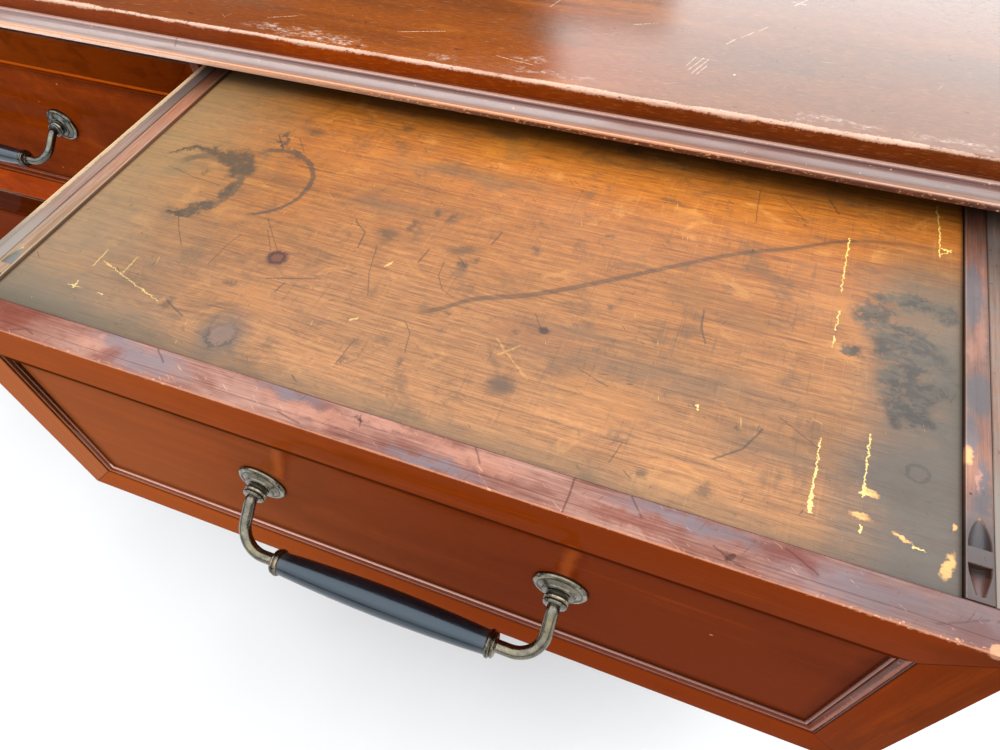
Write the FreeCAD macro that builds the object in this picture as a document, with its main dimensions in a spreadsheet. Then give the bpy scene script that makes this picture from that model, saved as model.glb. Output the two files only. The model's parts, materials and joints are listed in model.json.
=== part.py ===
import FreeCAD, Part
import os
import math
import Sketcher
from FreeCAD import Vector, Placement, Rotation

# Haberdashery cabinet: a low mahogany bank of four wide drawers, two columns by
# two rows.  Each drawer has a mitred frame front with a moulded, sunk panel, a
# bar handle, and a loose board lid that two sliding bars hold down.
#
# Frame: +Z up, X along the width, -Y towards the person who opens the drawers.
# The origin is on the floor, under the middle of the carcass.  The upper right
# drawer stands pulled out, the other three are shut.

doc = FreeCAD.newDocument("haberdashery_cabinet")
sheet = doc.addObject("Spreadsheet::Sheet", "Sheet")

DIMS = [
    # carcass
    ("carcass_deep", 512.0, "front plane of the carcass to its back"),
    ("column_open", 690.0, "clear width of a drawer column"),
    ("divider_thick", 10.0, "centre division"),
    ("end_thick", 22.0, "end panels"),
    ("plinth_high", 72.0, "height of the plinth boards"),
    ("plinth_thick", 16.0, "thickness of the plinth boards"),
    ("plinth_ovolo", 7.0, "radius worked on the plinth's top edge"),
    ("base_low", 66.0, "underside of the bottom board"),
    ("base_thick", 18.0, "bottom board"),
    ("base_gap", 2.0, "bottom board to the lower fronts"),
    ("row_gap", 4.0, "gap between the two rows of fronts"),
    ("head_gap", 2.0, "upper fronts to the top rail"),
    ("top_rail_high", 13.0, "rail under the top board"),
    ("rail_deep", 60.0, "depth of the flat rails"),
    ("rail_thick", 20.0, "rail between the rows"),
    ("runner_wide", 30.0, "width of runners and kickers"),
    ("runner_gap", 0.1, "drawer side above its runner"),
    ("stop_gap", 1.0, "shut front to the rail behind it"),
    ("back_thick", 10.0, "back boards"),
    ("board_count", 8.0, "number of back boards"),
    ("board_gap", 0.6, "joint between back boards"),
    ("top_thick", 32.0, "top board"),
    ("top_over", 8.0, "top board past the carcass at front and ends"),
    ("top_round", 2.5, "rounded arris of the top board"),
    ("quirk_low", 16.6, "quirk above the top board's underside"),
    ("quirk_high", 2.0, "height of the quirk"),
    ("quirk_deep", 1.6, "depth of the quirk"),
    ("nose", 10.0, "projection of the cornice moulding"),
    # drawer fronts
    ("front_wide", 686.0, "drawer front"),
    ("front_high", 247.0, "drawer front"),
    ("front_thick", 23.3, "drawer front"),
    ("head_wide", 37.0, "top rail of the front"),
    ("foot_wide", 40.0, "bottom rail of the front"),
    ("stile_wide", 37.0, "stiles of the front"),
    ("panel_sunk", 4.5, "panel behind the frame's face"),
    ("panel_thick", 9.0, "panel"),
    ("panel_tongue", 7.5, "panel's edge inside the frame's groove"),
    ("groove_deep", 8.0, "groove for the panel"),
    ("groove_ease", 0.1, "groove's ease on each face of the panel"),
    ("mould_wide", 9.5, "moulding round the panel"),
    ("mould_high", 3.9, "moulding above the panel"),
    ("pull_out", 321.0, "how far the upper right drawer stands open"),
    ("ur_side_gap", 1.2, "upper right front to the division"),
    ("ul_side_gap", 2.6, "upper left front to the division"),
    # drawer boxes
    ("box_half", 341.0, "half the width over the drawer sides"),
    ("side_thick", 15.5, "drawer sides"),
    ("side_rise", 20.0, "front's bottom edge to the sides' bottom edge"),
    ("drawer_long", 480.0, "front face to the sides' back end"),
    ("housing_deep", 10.0, "side's end let into the front"),
    ("housing_drop", 8.0, "top of that housing below the front's top"),
    ("floor_thick", 8.0, "drawer bottom"),
    ("floor_lift", 8.0, "drawer bottom above the sides' bottom edge"),
    ("back_board", 11.8, "drawer back"),
    ("back_inset", 6.0, "drawer back before the sides' end"),
    # lid, ledges and bars
    ("lid_half", 311.9, "half the width of the lid's face"),
    ("lid_drop", 3.0, "lid's face below the front's top"),
    ("lid_thick", 9.0, "lid"),
    ("lid_tongue", 3.9, "lid's edge under the bar"),
    ("tongue_thick", 4.0, "lid's edge under the bar"),
    ("ledge_low", 26.0, "underside of the ledges below the front's top"),
    ("ledge_wide", 20.4, "ledges along the drawer sides"),
    ("bar_in", 312.3, "inner edge of a bar"),
    ("bar_out", 325.2, "outer edge of a bar"),
    ("bar_long", 410.0, "length of a bar"),
    ("bar_front", 0.7, "bar behind the front"),
    ("bar_drop", 0.3, "bar's top below the front's top"),
    ("bar_ease", 0.3, "clearance between bar and what it slides on"),
    ("scoop_half", 5.7, "half width and depth of the finger scoops"),
    ("scoop_tip_rear", 71.9, "tip of the rear scoop behind the front's face"),
    ("scoop_wall_rear", 52.5, "its upright end"),
    ("scoop_wall_front", 43.6, "upright end of the front scoop"),
    ("scoop_tip_front", 26.4, "tip of the front scoop"),
    # handle
    ("handle_half", 114.3, "half the distance between the rosettes"),
    ("handle_shift", 5.0, "upper right handle right of the front's middle"),
    ("rosette_drop", 111.5, "rosettes below the front's top"),
    ("grip_drop", 135.0, "grip's axis below the front's top"),
    ("grip_out", 39.6, "grip's axis before the frame's face"),
    ("rosette_half", 19.0, "radius of a rosette"),
    ("arm_half", 4.4, "radius of the handle's arms"),
    ("arm_bend", 20.0, "radius of the big bend"),
    ("neck_bend", 6.0, "radius of the small bend at the neck"),
    ("collar_mid", 81.7, "middle of a collar from the handle's middle"),
    ("collar_half", 9.7, "radius of a collar"),
    ("grip_end_half", 8.2, "radius of the grip at its ends"),
    ("grip_mid_half", 10.7, "radius of the grip at its middle"),
    # screws
    ("screw_head_half", 4.2, "radius of a screw's head"),
    ("screw_half", 2.1, "radius of a screw's shank"),
    ("screw_long", 24.0, "length of a screw"),
]
VAL = {}
for row, (alias, value, text) in enumerate(DIMS, start=1):
    sheet.set("A%d" % row, text)
    sheet.set("B%d" % row, "%g" % value)
    sheet.setAlias("B%d" % row, alias)
    VAL[alias] = value
doc.recompute()


class Q:
    """A size: its present value, and the sheet expression that drives it."""

    def __init__(self, v, e):
        self.v = float(v)
        self.e = e

    def _op(self, other, sign, swap=False):
        o = q(other)
        a, b = (o, self) if swap else (self, o)
        if sign == "+":
            v = a.v + b.v
        elif sign == "-":
            v = a.v - b.v
        elif sign == "*":
            v = a.v * b.v
        else:
            v = a.v / b.v
        return Q(v, "(%s %s %s)" % (a.e, sign, b.e))

    def __add__(self, o):
        return self._op(o, "+")

    def __radd__(self, o):
        return self._op(o, "+", True)

    def __sub__(self, o):
        return self._op(o, "-")

    def __rsub__(self, o):
        return self._op(o, "-", True)

    def __mul__(self, o):
        return self._op(o, "*")

    def __rmul__(self, o):
        return self._op(o, "*", True)

    def __truediv__(self, o):
        return self._op(o, "/")

    def __neg__(self):
        return Q(-self.v, "(0 - %s)" % self.e)


def q(x):
    return x if isinstance(x, Q) else Q(x, "(%s)" % repr(float(x)))


def D(alias):
    return Q(VAL[alias], "Sheet.%s" % alias)


def bind(obj, prop, val):
    val = q(val)
    obj.setExpression(prop, val.e)


NODES = []


def node(obj, name):
    obj.Label = name
    NODES.append((name, obj))
    return obj


def place(obj, x=0, y=0, z=0):
    x, y, z = q(x), q(y), q(z)
    obj.Placement = Placement(Vector(x.v, y.v, z.v), Rotation())
    for c, v in (("x", x), ("y", y), ("z", z)):
        obj.setExpression("Placement.Base.%s" % c, v.e)


def box(name, x0, x1, y0, y1, z0, z1):
    """A plain board between two opposite corners."""
    x0, x1, y0, y1, z0, z1 = [q(v) for v in (x0, x1, y0, y1, z0, z1)]
    b = doc.addObject("Part::Box", name)
    b.Label = name
    bind(b, "Length", x1 - x0)
    bind(b, "Width", y1 - y0)
    bind(b, "Height", z1 - z0)
    place(b, x0, y0, z0)
    return b


def group(name, parts):
    g = doc.addObject("Part::Compound", name)
    g.Label = name
    g.Links = parts
    return g


def mirror(name, src, base=Vector(0, 0, 0)):
    m = doc.addObject("Part::Mirroring", name)
    m.Label = name
    m.Source = src
    m.Normal = Vector(1, 0, 0)
    m.Base = base
    return m


# ---------------------------------------------------------------- sketch helpers
def plane(body, role):
    for f in body.Origin.OriginFeatures:
        if f.Role == role:
            return f
    raise ValueError(role)


def new_body(name, x=0, y=0, z=0):
    b = doc.addObject("PartDesign::Body", name)
    b.Label = name
    place(b, x, y, z)
    return b


def sketch(body, name, role, off=None):
    """off: the plane's shift along its own normal (+Z, -Y or +X)."""
    s = body.newObject("Sketcher::SketchObject", name)
    s.AttachmentSupport = [(plane(body, role), "")]
    s.MapMode = "FlatFace"
    if off is not None:
        for c, v in zip("xyz", off):
            v = q(v)
            s.setExpression("AttachmentOffset.Base.%s" % c, v.e)
        s.AttachmentOffset = Placement(Vector(*[q(v).v for v in off]), Rotation())
    return s


def pin(s, geo, pos, x, y, tag):
    """Fix one point of the sketch by two signed sizes from its origin."""
    for kind, v, c in (("DistanceX", q(x), "x"), ("DistanceY", q(y), "y")):
        k = s.addConstraint(Sketcher.Constraint(kind, -1, 1, geo, pos, v.v))
        s.renameConstraint(k, c + tag)
        s.setExpression("Constraints.%s%s" % (c, tag), v.e)


def arc_through(a, m, c):
    """The anticlockwise arc over three points, and whether it starts at a."""
    cen = Part.Arc(a, m, c).toShape().Curve.Center
    r = (a - cen).Length
    ang = [math.atan2(p.y - cen.y, p.x - cen.x) for p in (a, m, c)]
    turn = 2 * math.pi
    forward = (ang[1] - ang[0]) % turn < (ang[2] - ang[0]) % turn
    a0, a1 = (ang[0], ang[2]) if forward else (ang[2], ang[0])
    if a1 < a0:
        a1 += turn
    return Part.ArcOfCircle(Part.Circle(cen, Vector(0, 0, 1), r), a0, a1), forward, r


def poly(s, pts, start=0):
    """A closed outline.  A point is (x, y), or (x, y, mx, my) where the side
    that leaves it is an arc through (mx, my)."""
    n = len(pts)
    base = s.GeometryCount
    ends, radius = [], []
    for i in range(n):
        p, r = pts[i], pts[(i + 1) % n]
        a = Vector(q(p[0]).v, q(p[1]).v, 0)
        c = Vector(q(r[0]).v, q(r[1]).v, 0)
        if len(p) == 4:
            arc, forward, rad = arc_through(a, Vector(q(p[2]).v, q(p[3]).v, 0), c)
            s.addGeometry(arc, False)
            ends.append((1, 2) if forward else (2, 1))
            radius.append(rad)
        else:
            s.addGeometry(Part.LineSegment(a, c), False)
            ends.append((1, 2))
            radius.append(None)
    for i in range(n):
        j = (i + 1) % n
        s.addConstraint(Sketcher.Constraint("Coincident", base + i, ends[i][1], base + j, ends[j][0]))
    for i in range(n):
        pin(s, base + i, ends[i][0], pts[i][0], pts[i][1], "%d_%d" % (start, i))
        if radius[i] is not None:
            k = s.addConstraint(Sketcher.Constraint("Radius", base + i, radius[i]))
            s.renameConstraint(k, "r%d_%d" % (start, i))


def rect(s, x0, x1, y0, y1, start=0):
    poly(s, [(x0, y0), (x1, y0), (x1, y1), (x0, y1)], start)


def volume(body):
    doc.recompute()
    return body.Shape.Volume


def pad(body, s, length, rev=False):
    p = body.newObject("PartDesign::Pad", s.Name + "_pad")
    p.Profile = s
    bind(p, "Length", length)
    p.Reversed = rev
    s.Visibility = False
    doc.recompute()
    return p


def pocket(body, s, length=None, rev=False):
    before = volume(body)
    p = body.newObject("PartDesign::Pocket", s.Name + "_cut")
    p.Profile = s
    if length is None:
        p.Type = 1
    else:
        bind(p, "Length", length)
    p.Reversed = rev
    after = volume(body)
    if not after < before - 1e-3:
        raise RuntimeError("%s removed nothing" % p.Name)
    return p


def revolve(body, s, axis, cut=False):
    before = body.Shape.Volume if cut else 0.0
    p = body.newObject("PartDesign::Groove" if cut else "PartDesign::Revolution", s.Name + "_turn")
    p.Profile = s
    p.ReferenceAxis = (s, [axis])
    p.Angle = 360
    doc.recompute()
    if cut and not body.Shape.Volume < before - 1e-3:
        raise RuntimeError("%s removed nothing" % p.Name)
    return p


# ---------------------------------------------------------------- main levels
half_div = D("divider_thick") / 2
open_in = half_div
open_out = half_div + D("column_open")
end_out = open_out + D("end_thick")
y_front = -(D("carcass_deep") / 2)
y_back = D("carcass_deep") / 2
y_inner = y_back - D("back_thick")
z_base = D("base_low") + D("base_thick")
z_low_foot = z_base + D("base_gap")
z_low_top = z_low_foot + D("front_high")
z_up_foot = z_low_top + D("row_gap")
z_up_top = z_up_foot + D("front_high")
z_rail = z_up_top + D("head_gap")
z_board = z_rail + D("top_rail_high")
z_top = z_board + D("top_thick")
z_up_run = z_up_foot + D("side_rise") - D("runner_gap")
z_low_run = z_low_foot + D("side_rise") - D("runner_gap")
y_rail = y_front + D("front_thick") + D("stop_gap")
y_rail_end = y_rail + D("rail_deep")
front_half = D("front_wide") / 2

# middles of the four fronts
ur_x = open_in + D("ur_side_gap") + front_half
ul_x = -(open_in + D("ul_side_gap") + front_half)
lr_x = open_in + D("column_open") / 2
ll_x = -lr_x

# ---------------------------------------------------------------- carcass
# Top board: a quirk runs round its front and ends, the top arris is rounded.
b = new_body("top_board")
top_half = end_out + D("top_over")
y_top_front = y_front - D("top_over")
s = sketch(b, "top_plan", "XY_Plane", (0, 0, z_board))
rect(s, -top_half, top_half, y_top_front, y_back)
pad(b, s, D("top_thick"))
s = sketch(b, "quirk_plan", "XY_Plane", (0, 0, z_board + D("quirk_low")))
u = D("quirk_deep")
poly(s, [(-top_half - 1, y_top_front - 1), (top_half + 1, y_top_front - 1), (top_half + 1, y_back + 1),
         (top_half - u, y_back + 1), (top_half - u, y_top_front + u), (-top_half + u, y_top_front + u),
         (-top_half + u, y_back + 1), (-top_half - 1, y_back + 1)])
pocket(b, s, D("quirk_high"), rev=True)
edges = []
for i, e in enumerate(b.Shape.Edges, start=1):
    c = e.BoundBox
    if abs(c.ZMin - z_top.v) < 1e-4 and abs(c.ZMax - z_top.v) < 1e-4 and not (abs(c.YMin - y_back.v) < 1e-4 and abs(c.YMax - y_back.v) < 1e-4):
        edges.append("Edge%d" % i)
f = b.newObject("PartDesign::Fillet", "top_arris")
f.Base = (b.Tip if b.Tip != f else f.BaseFeature, edges)
bind(f, "Radius", D("top_round"))
doc.recompute()
node(b, "top_board")

# Cornice: an ovolo over a square nose, a step and a small bead at the top,
# planted on the top board's edge, mitred at the two front corners.
CORNICE = [(0, 0), (10.0, 0), (10.0, 5.3), (9.3, 5.7, 8.35, 10.15), (4.2, 13.0), (3.3, 13.2),
           (3.3, 14.1, 3.0, 15.3), (1.9, 16.1), (0, 16.3)]


def cornice(name, where):
    body = new_body(name)
    nose = D("nose")
    if where == "front":
        sk = sketch(body, name + "_profile", "YZ_Plane", (y_top_front, z_board, -(top_half + nose)))
        pts = [tuple((-c if k in (0, 2) else c) for k, c in enumerate(p)) for p in CORNICE]
        poly(sk, pts)
        pad(body, sk, 2 * (top_half + nose))
        cut = sketch(body, name + "_mitre", "XY_Plane", (0, 0, z_board - 1))
        o, m = top_half + nose, 1.0
        for k, sg in enumerate((1, -1)):
            poly(cut, [(sg * (o + m), y_top_front - nose - m), (sg * (o + m), y_top_front + m),
                       (sg * (top_half - m), y_top_front + m)], k)
        pocket(body, cut, 20, rev=True)
    else:
        sg = 1 if where == "right" else -1
        sk = sketch(body, name + "_profile", "XZ_Plane", (sg * top_half, z_board, -y_back))
        pts = [tuple((sg * c if k in (0, 2) else c) for k, c in enumerate(p)) for p in CORNICE]
        poly(sk, pts)
        pad(body, sk, y_back - y_top_front + nose)
        cut = sketch(body, name + "_mitre", "XY_Plane", (0, 0, z_board - 1))
        m = 1.0
        poly(cut, [(sg * (top_half - m), y_top_front + m), (sg * (top_half - m), y_top_front - nose - m),
                   (sg * (top_half + nose + m), y_top_front - nose - m)])
        pocket(body, cut, 20, rev=True)
    return node(body, name)


cornice("cornice_front", "front")
cornice("cornice_left", "left")
cornice("cornice_right", "right")

# Ends, division and bottom board.
node(box("end_panel_left", -end_out, -open_out, y_front, y_back, 0, z_board), "end_panel_left")
node(box("end_panel_right", open_out, end_out, y_front, y_back, 0, z_board), "end_panel_right")
node(box("centre_divider", -half_div, half_div, y_front, y_inner, z_base, z_board), "centre_divider")

# Screws through the back boards, one at each end of each board: they bite in
# the bottom board and in the back rails under the top.
count = int(VAL["board_count"])
pitch = 2 * open_out / D("board_count")
screw_x = [-open_out + pitch * (k + 0.5) for k in range(count)]
screw_z = [D("base_low") + D("base_thick") / 2, z_rail + D("top_rail_high") / 2]


def drill(base, name, zs, y_from, y_to, radius):
    """Take a row of round holes along Y out of a board."""
    holes = []
    for x in screw_x:
        for k, z in enumerate(zs):
            c = doc.addObject("Part::Cylinder", name + "_hole")
            bind(c, "Radius", radius)
            bind(c, "Height", y_to - y_from)
            c.Placement = Placement(Vector(q(x).v, q(y_from).v, q(z).v), Rotation(Vector(1, 0, 0), -90))
            for a, v in (("x", x), ("y", y_from), ("z", z)):
                c.setExpression("Placement.Base.%s" % a, q(v).e)
            holes.append(c)
    g = group(name + "_holes", holes)
    cut = doc.addObject("Part::Cut", name + "_drilled")
    cut.Base = base
    cut.Tool = g
    doc.recompute()
    return cut


pilot = D("screw_half") + 0.1
bite = D("screw_long") - D("back_thick") + 1
bb = box("bottom_board_blank", -open_out, open_out, y_front, y_inner, D("base_low"), z_base)
node(drill(bb, "bottom_board", screw_z[:1], y_inner - bite, y_inner + 1, pilot), "bottom_board")

# Flat rails behind the fronts; the upper row's fronts hide the middle ones.
rails = []
for k, sg in enumerate((1, -1)):
    a, c = (open_in, open_out) if sg > 0 else (-open_out, -open_in)
    rails.append((
        box("top_rail_%d" % k, a, c, y_front, y_front + D("rail_deep"), z_rail, z_board),
        box("mid_rail_%d" % k, a, c, y_rail, y_rail_end, z_up_run - D("rail_thick"), z_up_run),
        box("low_rail_%d" % k, a, c, y_rail, y_rail_end, z_base, z_low_run)))
node(group("top_rails", [rails[0][0], rails[1][0]]), "top_rails")
node(group("middle_rails", [rails[0][1], rails[1][1]]), "middle_rails")
node(group("lower_rails", [rails[0][2], rails[1][2]]), "lower_rails")

# Runners under each drawer side, kickers over the upper row, and a back rail
# that takes the screws of the back boards.
run, kick = [], []
for k, sg in enumerate((1, -1)):
    for j, (a, c) in enumerate(((open_in, open_in + D("runner_wide")), (open_out - D("runner_wide"), open_out))):
        if sg < 0:
            a, c = -c, -a
        tag = "%d%d" % (k, j)
        run.append(box("runner_up_" + tag, a, c, y_rail_end, y_inner, z_up_run - D("rail_thick"), z_up_run))
        run.append(box("runner_low_" + tag, a, c, y_rail_end, y_inner, z_base, z_low_run))
        kick.append(box("kicker_" + tag, a, c, y_front + D("rail_deep"), y_inner - D("runner_wide"), z_rail, z_board))
    a, c = (open_in, open_out) if sg > 0 else (-open_out, -open_in)
    back_rail = box("back_rail_%d" % k, a, c, y_inner - D("runner_wide"), y_inner, z_rail, z_board)
    kick.append(back_rail)
node(group("drawer_runners", run), "drawer_runners")
kg = group("kickers_blank", kick)
node(drill(kg, "kickers", screw_z[1:], y_inner - bite, y_inner + 1, pilot), "kickers")

# Thin guide strips that keep each drawer box in the middle of its way.
guide = []
ease = 0.5
for tag, xm, zr in (("ur", ur_x, z_up_run), ("ul", ul_x, z_up_run), ("lr", lr_x, z_low_run), ("ll", ll_x, z_low_run)):
    right = tag[1] == "r"
    lo, hi = (open_in, open_out) if right else (-open_out, -open_in)
    g0, g1 = y_rail + 2, y_inner
    guide.append(box("guide_%s_a" % tag, lo, xm - D("box_half") - ease, g0, g1, zr + 1, zr + 41))
    guide.append(box("guide_%s_b" % tag, xm + D("box_half") + ease, hi, g0, g1, zr + 1, zr + 41))
node(group("drawer_guides", guide), "drawer_guides")

# Back boards, upright, with a fine open joint between them.
boards = []
for k in range(count):
    x0 = -open_out + pitch * k
    boards.append(box("back_board_%d" % k, x0 + D("board_gap") / 2, x0 + pitch - D("board_gap") / 2,
                      y_inner, y_back, D("base_low"), z_board))
bg = group("back_boards_blank", boards)
sink = []
for x in screw_x:
    for z in screw_z:
        c = doc.addObject("Part::Cylinder", "back_hole")
        bind(c, "Radius", pilot)
        bind(c, "Height", D("back_thick") + 2)
        k = doc.addObject("Part::Cone", "back_sink")
        bind(k, "Radius1", D("screw_head_half") + 0.1)
        bind(k, "Radius2", pilot)
        bind(k, "Height", D("screw_head_half") - D("screw_half"))
        for o, yy in ((c, y_back + 1), (k, y_back)):
            o.Placement = Placement(Vector(q(x).v, yy.v, q(z).v), Rotation(Vector(1, 0, 0), 90))
            for a, v in (("x", x), ("y", yy), ("z", z)):
                o.setExpression("Placement.Base.%s" % a, q(v).e)
            sink.append(o)
sg_ = group("back_sinks", sink)
cut = doc.addObject("Part::Cut", "back_boards")
cut.Base = bg
cut.Tool = sg_
node(cut, "back_boards")

# One slotted countersunk screw, and its copies.
b = new_body("back_screw_master")
s = sketch(b, "screw_profile", "XZ_Plane")
hr, sr, sl = D("screw_head_half"), D("screw_half"), D("screw_long")
hh = hr - sr
poly(s, [(0, 0), (hr, 0), (sr, -hh), (sr, -(sl - 4)), (0, -sl)])
revolve(b, s, "V_Axis")
s = sketch(b, "screw_slot", "XZ_Plane", (0, 0, 6))
rect(s, -0.5, 0.5, -1.1, 1)
pocket(b, s, 12, rev=False)
doc.recompute()
screws = []
for n_, x in enumerate(screw_x):
    for j, z in enumerate(screw_z):
        f = doc.addObject("Part::Feature", "back_screw")
        f.Shape = b.Shape.copy()
        turn = Rotation(Vector(0, 0, 1), 25 + 37 * n_ + 61 * j)
        f.Placement = Placement(Vector(q(x).v, y_back.v, q(z).v), Rotation(Vector(1, 0, 0), -90).multiply(turn))
        screws.append(f)
node(group("back_screws", screws), "back_screws")

# Plinth: boards planted on the carcass with an ovolo on the top edge, mitred at
# the front corners, with corner blocks and a bearer under the division behind.
pl_half = end_out + D("plinth_thick")
y_pl = y_front - D("plinth_thick")


def plinth(name, where):
    body = new_body(name)
    th, hi, r = D("plinth_thick"), D("plinth_high"), D("plinth_ovolo")
    c = math.sqrt(0.5)
    if where == "front":
        sk = sketch(body, name + "_profile", "YZ_Plane", (y_front, 0, -pl_half))
        poly(sk, [(0, 0), (-th, 0), (-th, hi - r, -th + r * (1 - c), hi - r * (1 - c)), (-th + r, hi), (0, hi)])
        pad(body, sk, 2 * pl_half)
        cut = sketch(body, name + "_mitre", "XY_Plane", (0, 0, -1))
        m = 1.0
        for k, sg in enumerate((1, -1)):
            poly(cut, [(sg * (pl_half + m), y_pl - m), (sg * (pl_half + m), y_front + m), (sg * (end_out - m), y_front + m)], k)
        pocket(body, cut, hi + 2, rev=True)
    else:
        sg = 1 if where == "right" else -1
        sk = sketch(body, name + "_profile", "XZ_Plane", (sg * end_out, 0, -y_back))
        poly(sk, [(0, 0), (sg * th, 0), (sg * th, hi - r, sg * (th - r * (1 - c)), hi - r * (1 - c)), (sg * (th - r), hi), (0, hi)])
        pad(body, sk, y_back - y_front + th)
        cut = sketch(body, name + "_mitre", "XY_Plane", (0, 0, -1))
        m = 1.0
        poly(cut, [(sg * (end_out - m), y_front + m), (sg * (end_out - m), y_pl - m), (sg * (pl_half + m), y_pl - m)])
        pocket(body, cut, hi + 2, rev=True)
    return node(body, name)


plinth("plinth_front", "front")
plinth("plinth_left", "left")
plinth("plinth_right", "right")
bl = []
for k, xx in enumerate((-open_out, open_out - 40)):
    for j, yy in enumerate((y_front, y_inner - 40)):
        bl.append(box("plinth_block_%d%d" % (k, j), xx, xx + 40, yy, yy + 40, 0, D("base_low")))
bl.append(box("centre_bearer", -20, 20, y_front, y_inner, 0, D("base_low")))
node(group("plinth_blocks", bl), "plinth_blocks")

# ---------------------------------------------------------------- one drawer
# Drawer frame: x from the middle of the front, y back from the front's face,
# z up from the front's top edge.
y_open = y_front - D("pull_out")
HERE = (ur_x, y_open, z_up_top)
fw, fh, ft = front_half, D("front_high"), D("front_thick")
hw, bw, sw = D("head_wide"), D("foot_wide"), D("stile_wide")
ps, pt = D("panel_sunk"), D("panel_thick")
ge, gd = D("groove_ease"), D("groove_deep")
xi = fw - sw                    # inner edge of a stile
zi0, zi1 = -hw, -(fh - bw)      # inner edges of the two rails
xs = D("box_half")              # outer face of a drawer side
xsi = xs - D("side_thick")      # inner face
zs = -(fh - D("side_rise"))     # bottom edge of the sides
zf0 = zs + D("floor_lift")
zf1 = zf0 + D("floor_thick")


def frame_member(name, outline, groove):
    body = new_body(name, *HERE)
    sk = sketch(body, name + "_face", "XZ_Plane")
    poly(sk, outline)
    pad(body, sk, ft, rev=True)
    # groove for the panel, along the inner edge
    sk = sketch(body, name + "_groove", "XZ_Plane", (0, 0, -(ps - ge)))
    rect(sk, *groove)
    pocket(body, sk, pt + 2 * ge, rev=False)
    if name.endswith("bottom_rail"):
        return body
    # housing for the ends of the drawer sides, from the back face
    sk = sketch(body, name + "_housing", "XZ_Plane", (0, 0, -ft))
    k = 0
    for sg in (1, -1):
        a, c = (xsi - 0.1, xs + 0.1) if sg > 0 else (-xs - 0.1, -xsi + 0.1)
        if name.endswith("left_stile") and sg > 0 or name.endswith("right_stile") and sg < 0:
            continue
        rect(sk, a, c, zs - 0.1, -D("housing_drop"), k)
        k += 1
    pocket(body, sk, D("housing_deep"), rev=True)
    return body


ur = "upper_right_"
head = frame_member(ur + "front_top_rail", [(-fw, 0), (fw, 0), (xi, zi0), (-xi, zi0)],
                    (-xi - gd, xi + gd, zi0 - 1, zi0 + gd))
foot = frame_member(ur + "front_bottom_rail", [(-fw, -fh), (fw, -fh), (xi, zi1), (-xi, zi1)],
                    (-xi - gd, xi + gd, zi1 - gd, zi1 + 1))
lst = frame_member(ur + "front_left_stile", [(-fw, -fh), (-xi, zi1), (-xi, zi0), (-fw, 0)],
                   (-xi - gd, -xi + 1, zi1 - gd, zi0 + gd))
rst = frame_member(ur + "front_right_stile", [(fw, -fh), (xi, zi1), (xi, zi0), (fw, 0)],
                   (xi - 1, xi + gd, zi1 - gd, zi0 + gd))
# groove for the drawer bottom in the back of the front
for body in (foot, lst, rst):
    sk = sketch(body, body.Name + "_floor_groove", "XZ_Plane", (0, 0, -ft))
    fl = xsi + 5.7
    rect(sk, -fl, fl, zf0 - 0.1, zf1 + 0.1)
    pocket(body, sk, 7.2, rev=True)
for body in (head, foot, lst, rst):
    node(body, body.Name)

# The panel, bored for the handle's shanks.
hx = {"upper_right_": D("handle_shift")}
panel_x = xi + D("panel_tongue")


def front_panel(name, shift):
    body = new_body(name, *HERE)
    sk = sketch(body, name + "_face", "XZ_Plane", (0, 0, -ps))
    rect(sk, -panel_x, panel_x, zi1 - D("panel_tongue"), zi0 + D("panel_tongue"))
    pad(body, sk, pt, rev=True)
    sk = sketch(body, name + "_bores", "XZ_Plane", (0, 0, -ps + 1))
    for k, sg in enumerate((1, -1)):
        g = sk.addGeometry(Part.Circle(Vector(shift.v + sg * VAL["handle_half"], -VAL["rosette_drop"], 0), Vector(0, 0, 1), VAL["arm_half"] + 0.15), False)
        pin(sk, g, 3, shift + sg * D("handle_half"), -D("rosette_drop"), "b%d" % k)
        c = sk.addConstraint(Sketcher.Constraint("Radius", g, VAL["arm_half"] + 0.15))
        sk.renameConstraint(c, "bore%d" % k)
        sk.setExpression("Constraints.bore%d" % k, "Sheet.arm_half + 0.15")
    pocket(body, sk, pt + 2, rev=False)
    return body


panel = front_panel(ur + "front_panel", D("handle_shift"))
node(panel, panel.Name)
panel_mid = front_panel("centred_front_panel", q(0))

# Moulding round the panel: a fillet at the frame, a broad ovolo and a bead by
# the panel.  w runs in from the frame, v runs out from the panel.
MOULD = [(0, 0), (0, 3.9), (0.9, 3.9), (0.9, 3.3, 4.3, 2.95), (6.2, 0.9), (6.7, 0.9),
         (6.7, 1.3, 7.85, 2.3), (9.0, 1.3), (9.5, 0.6), (9.5, 0)]


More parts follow.
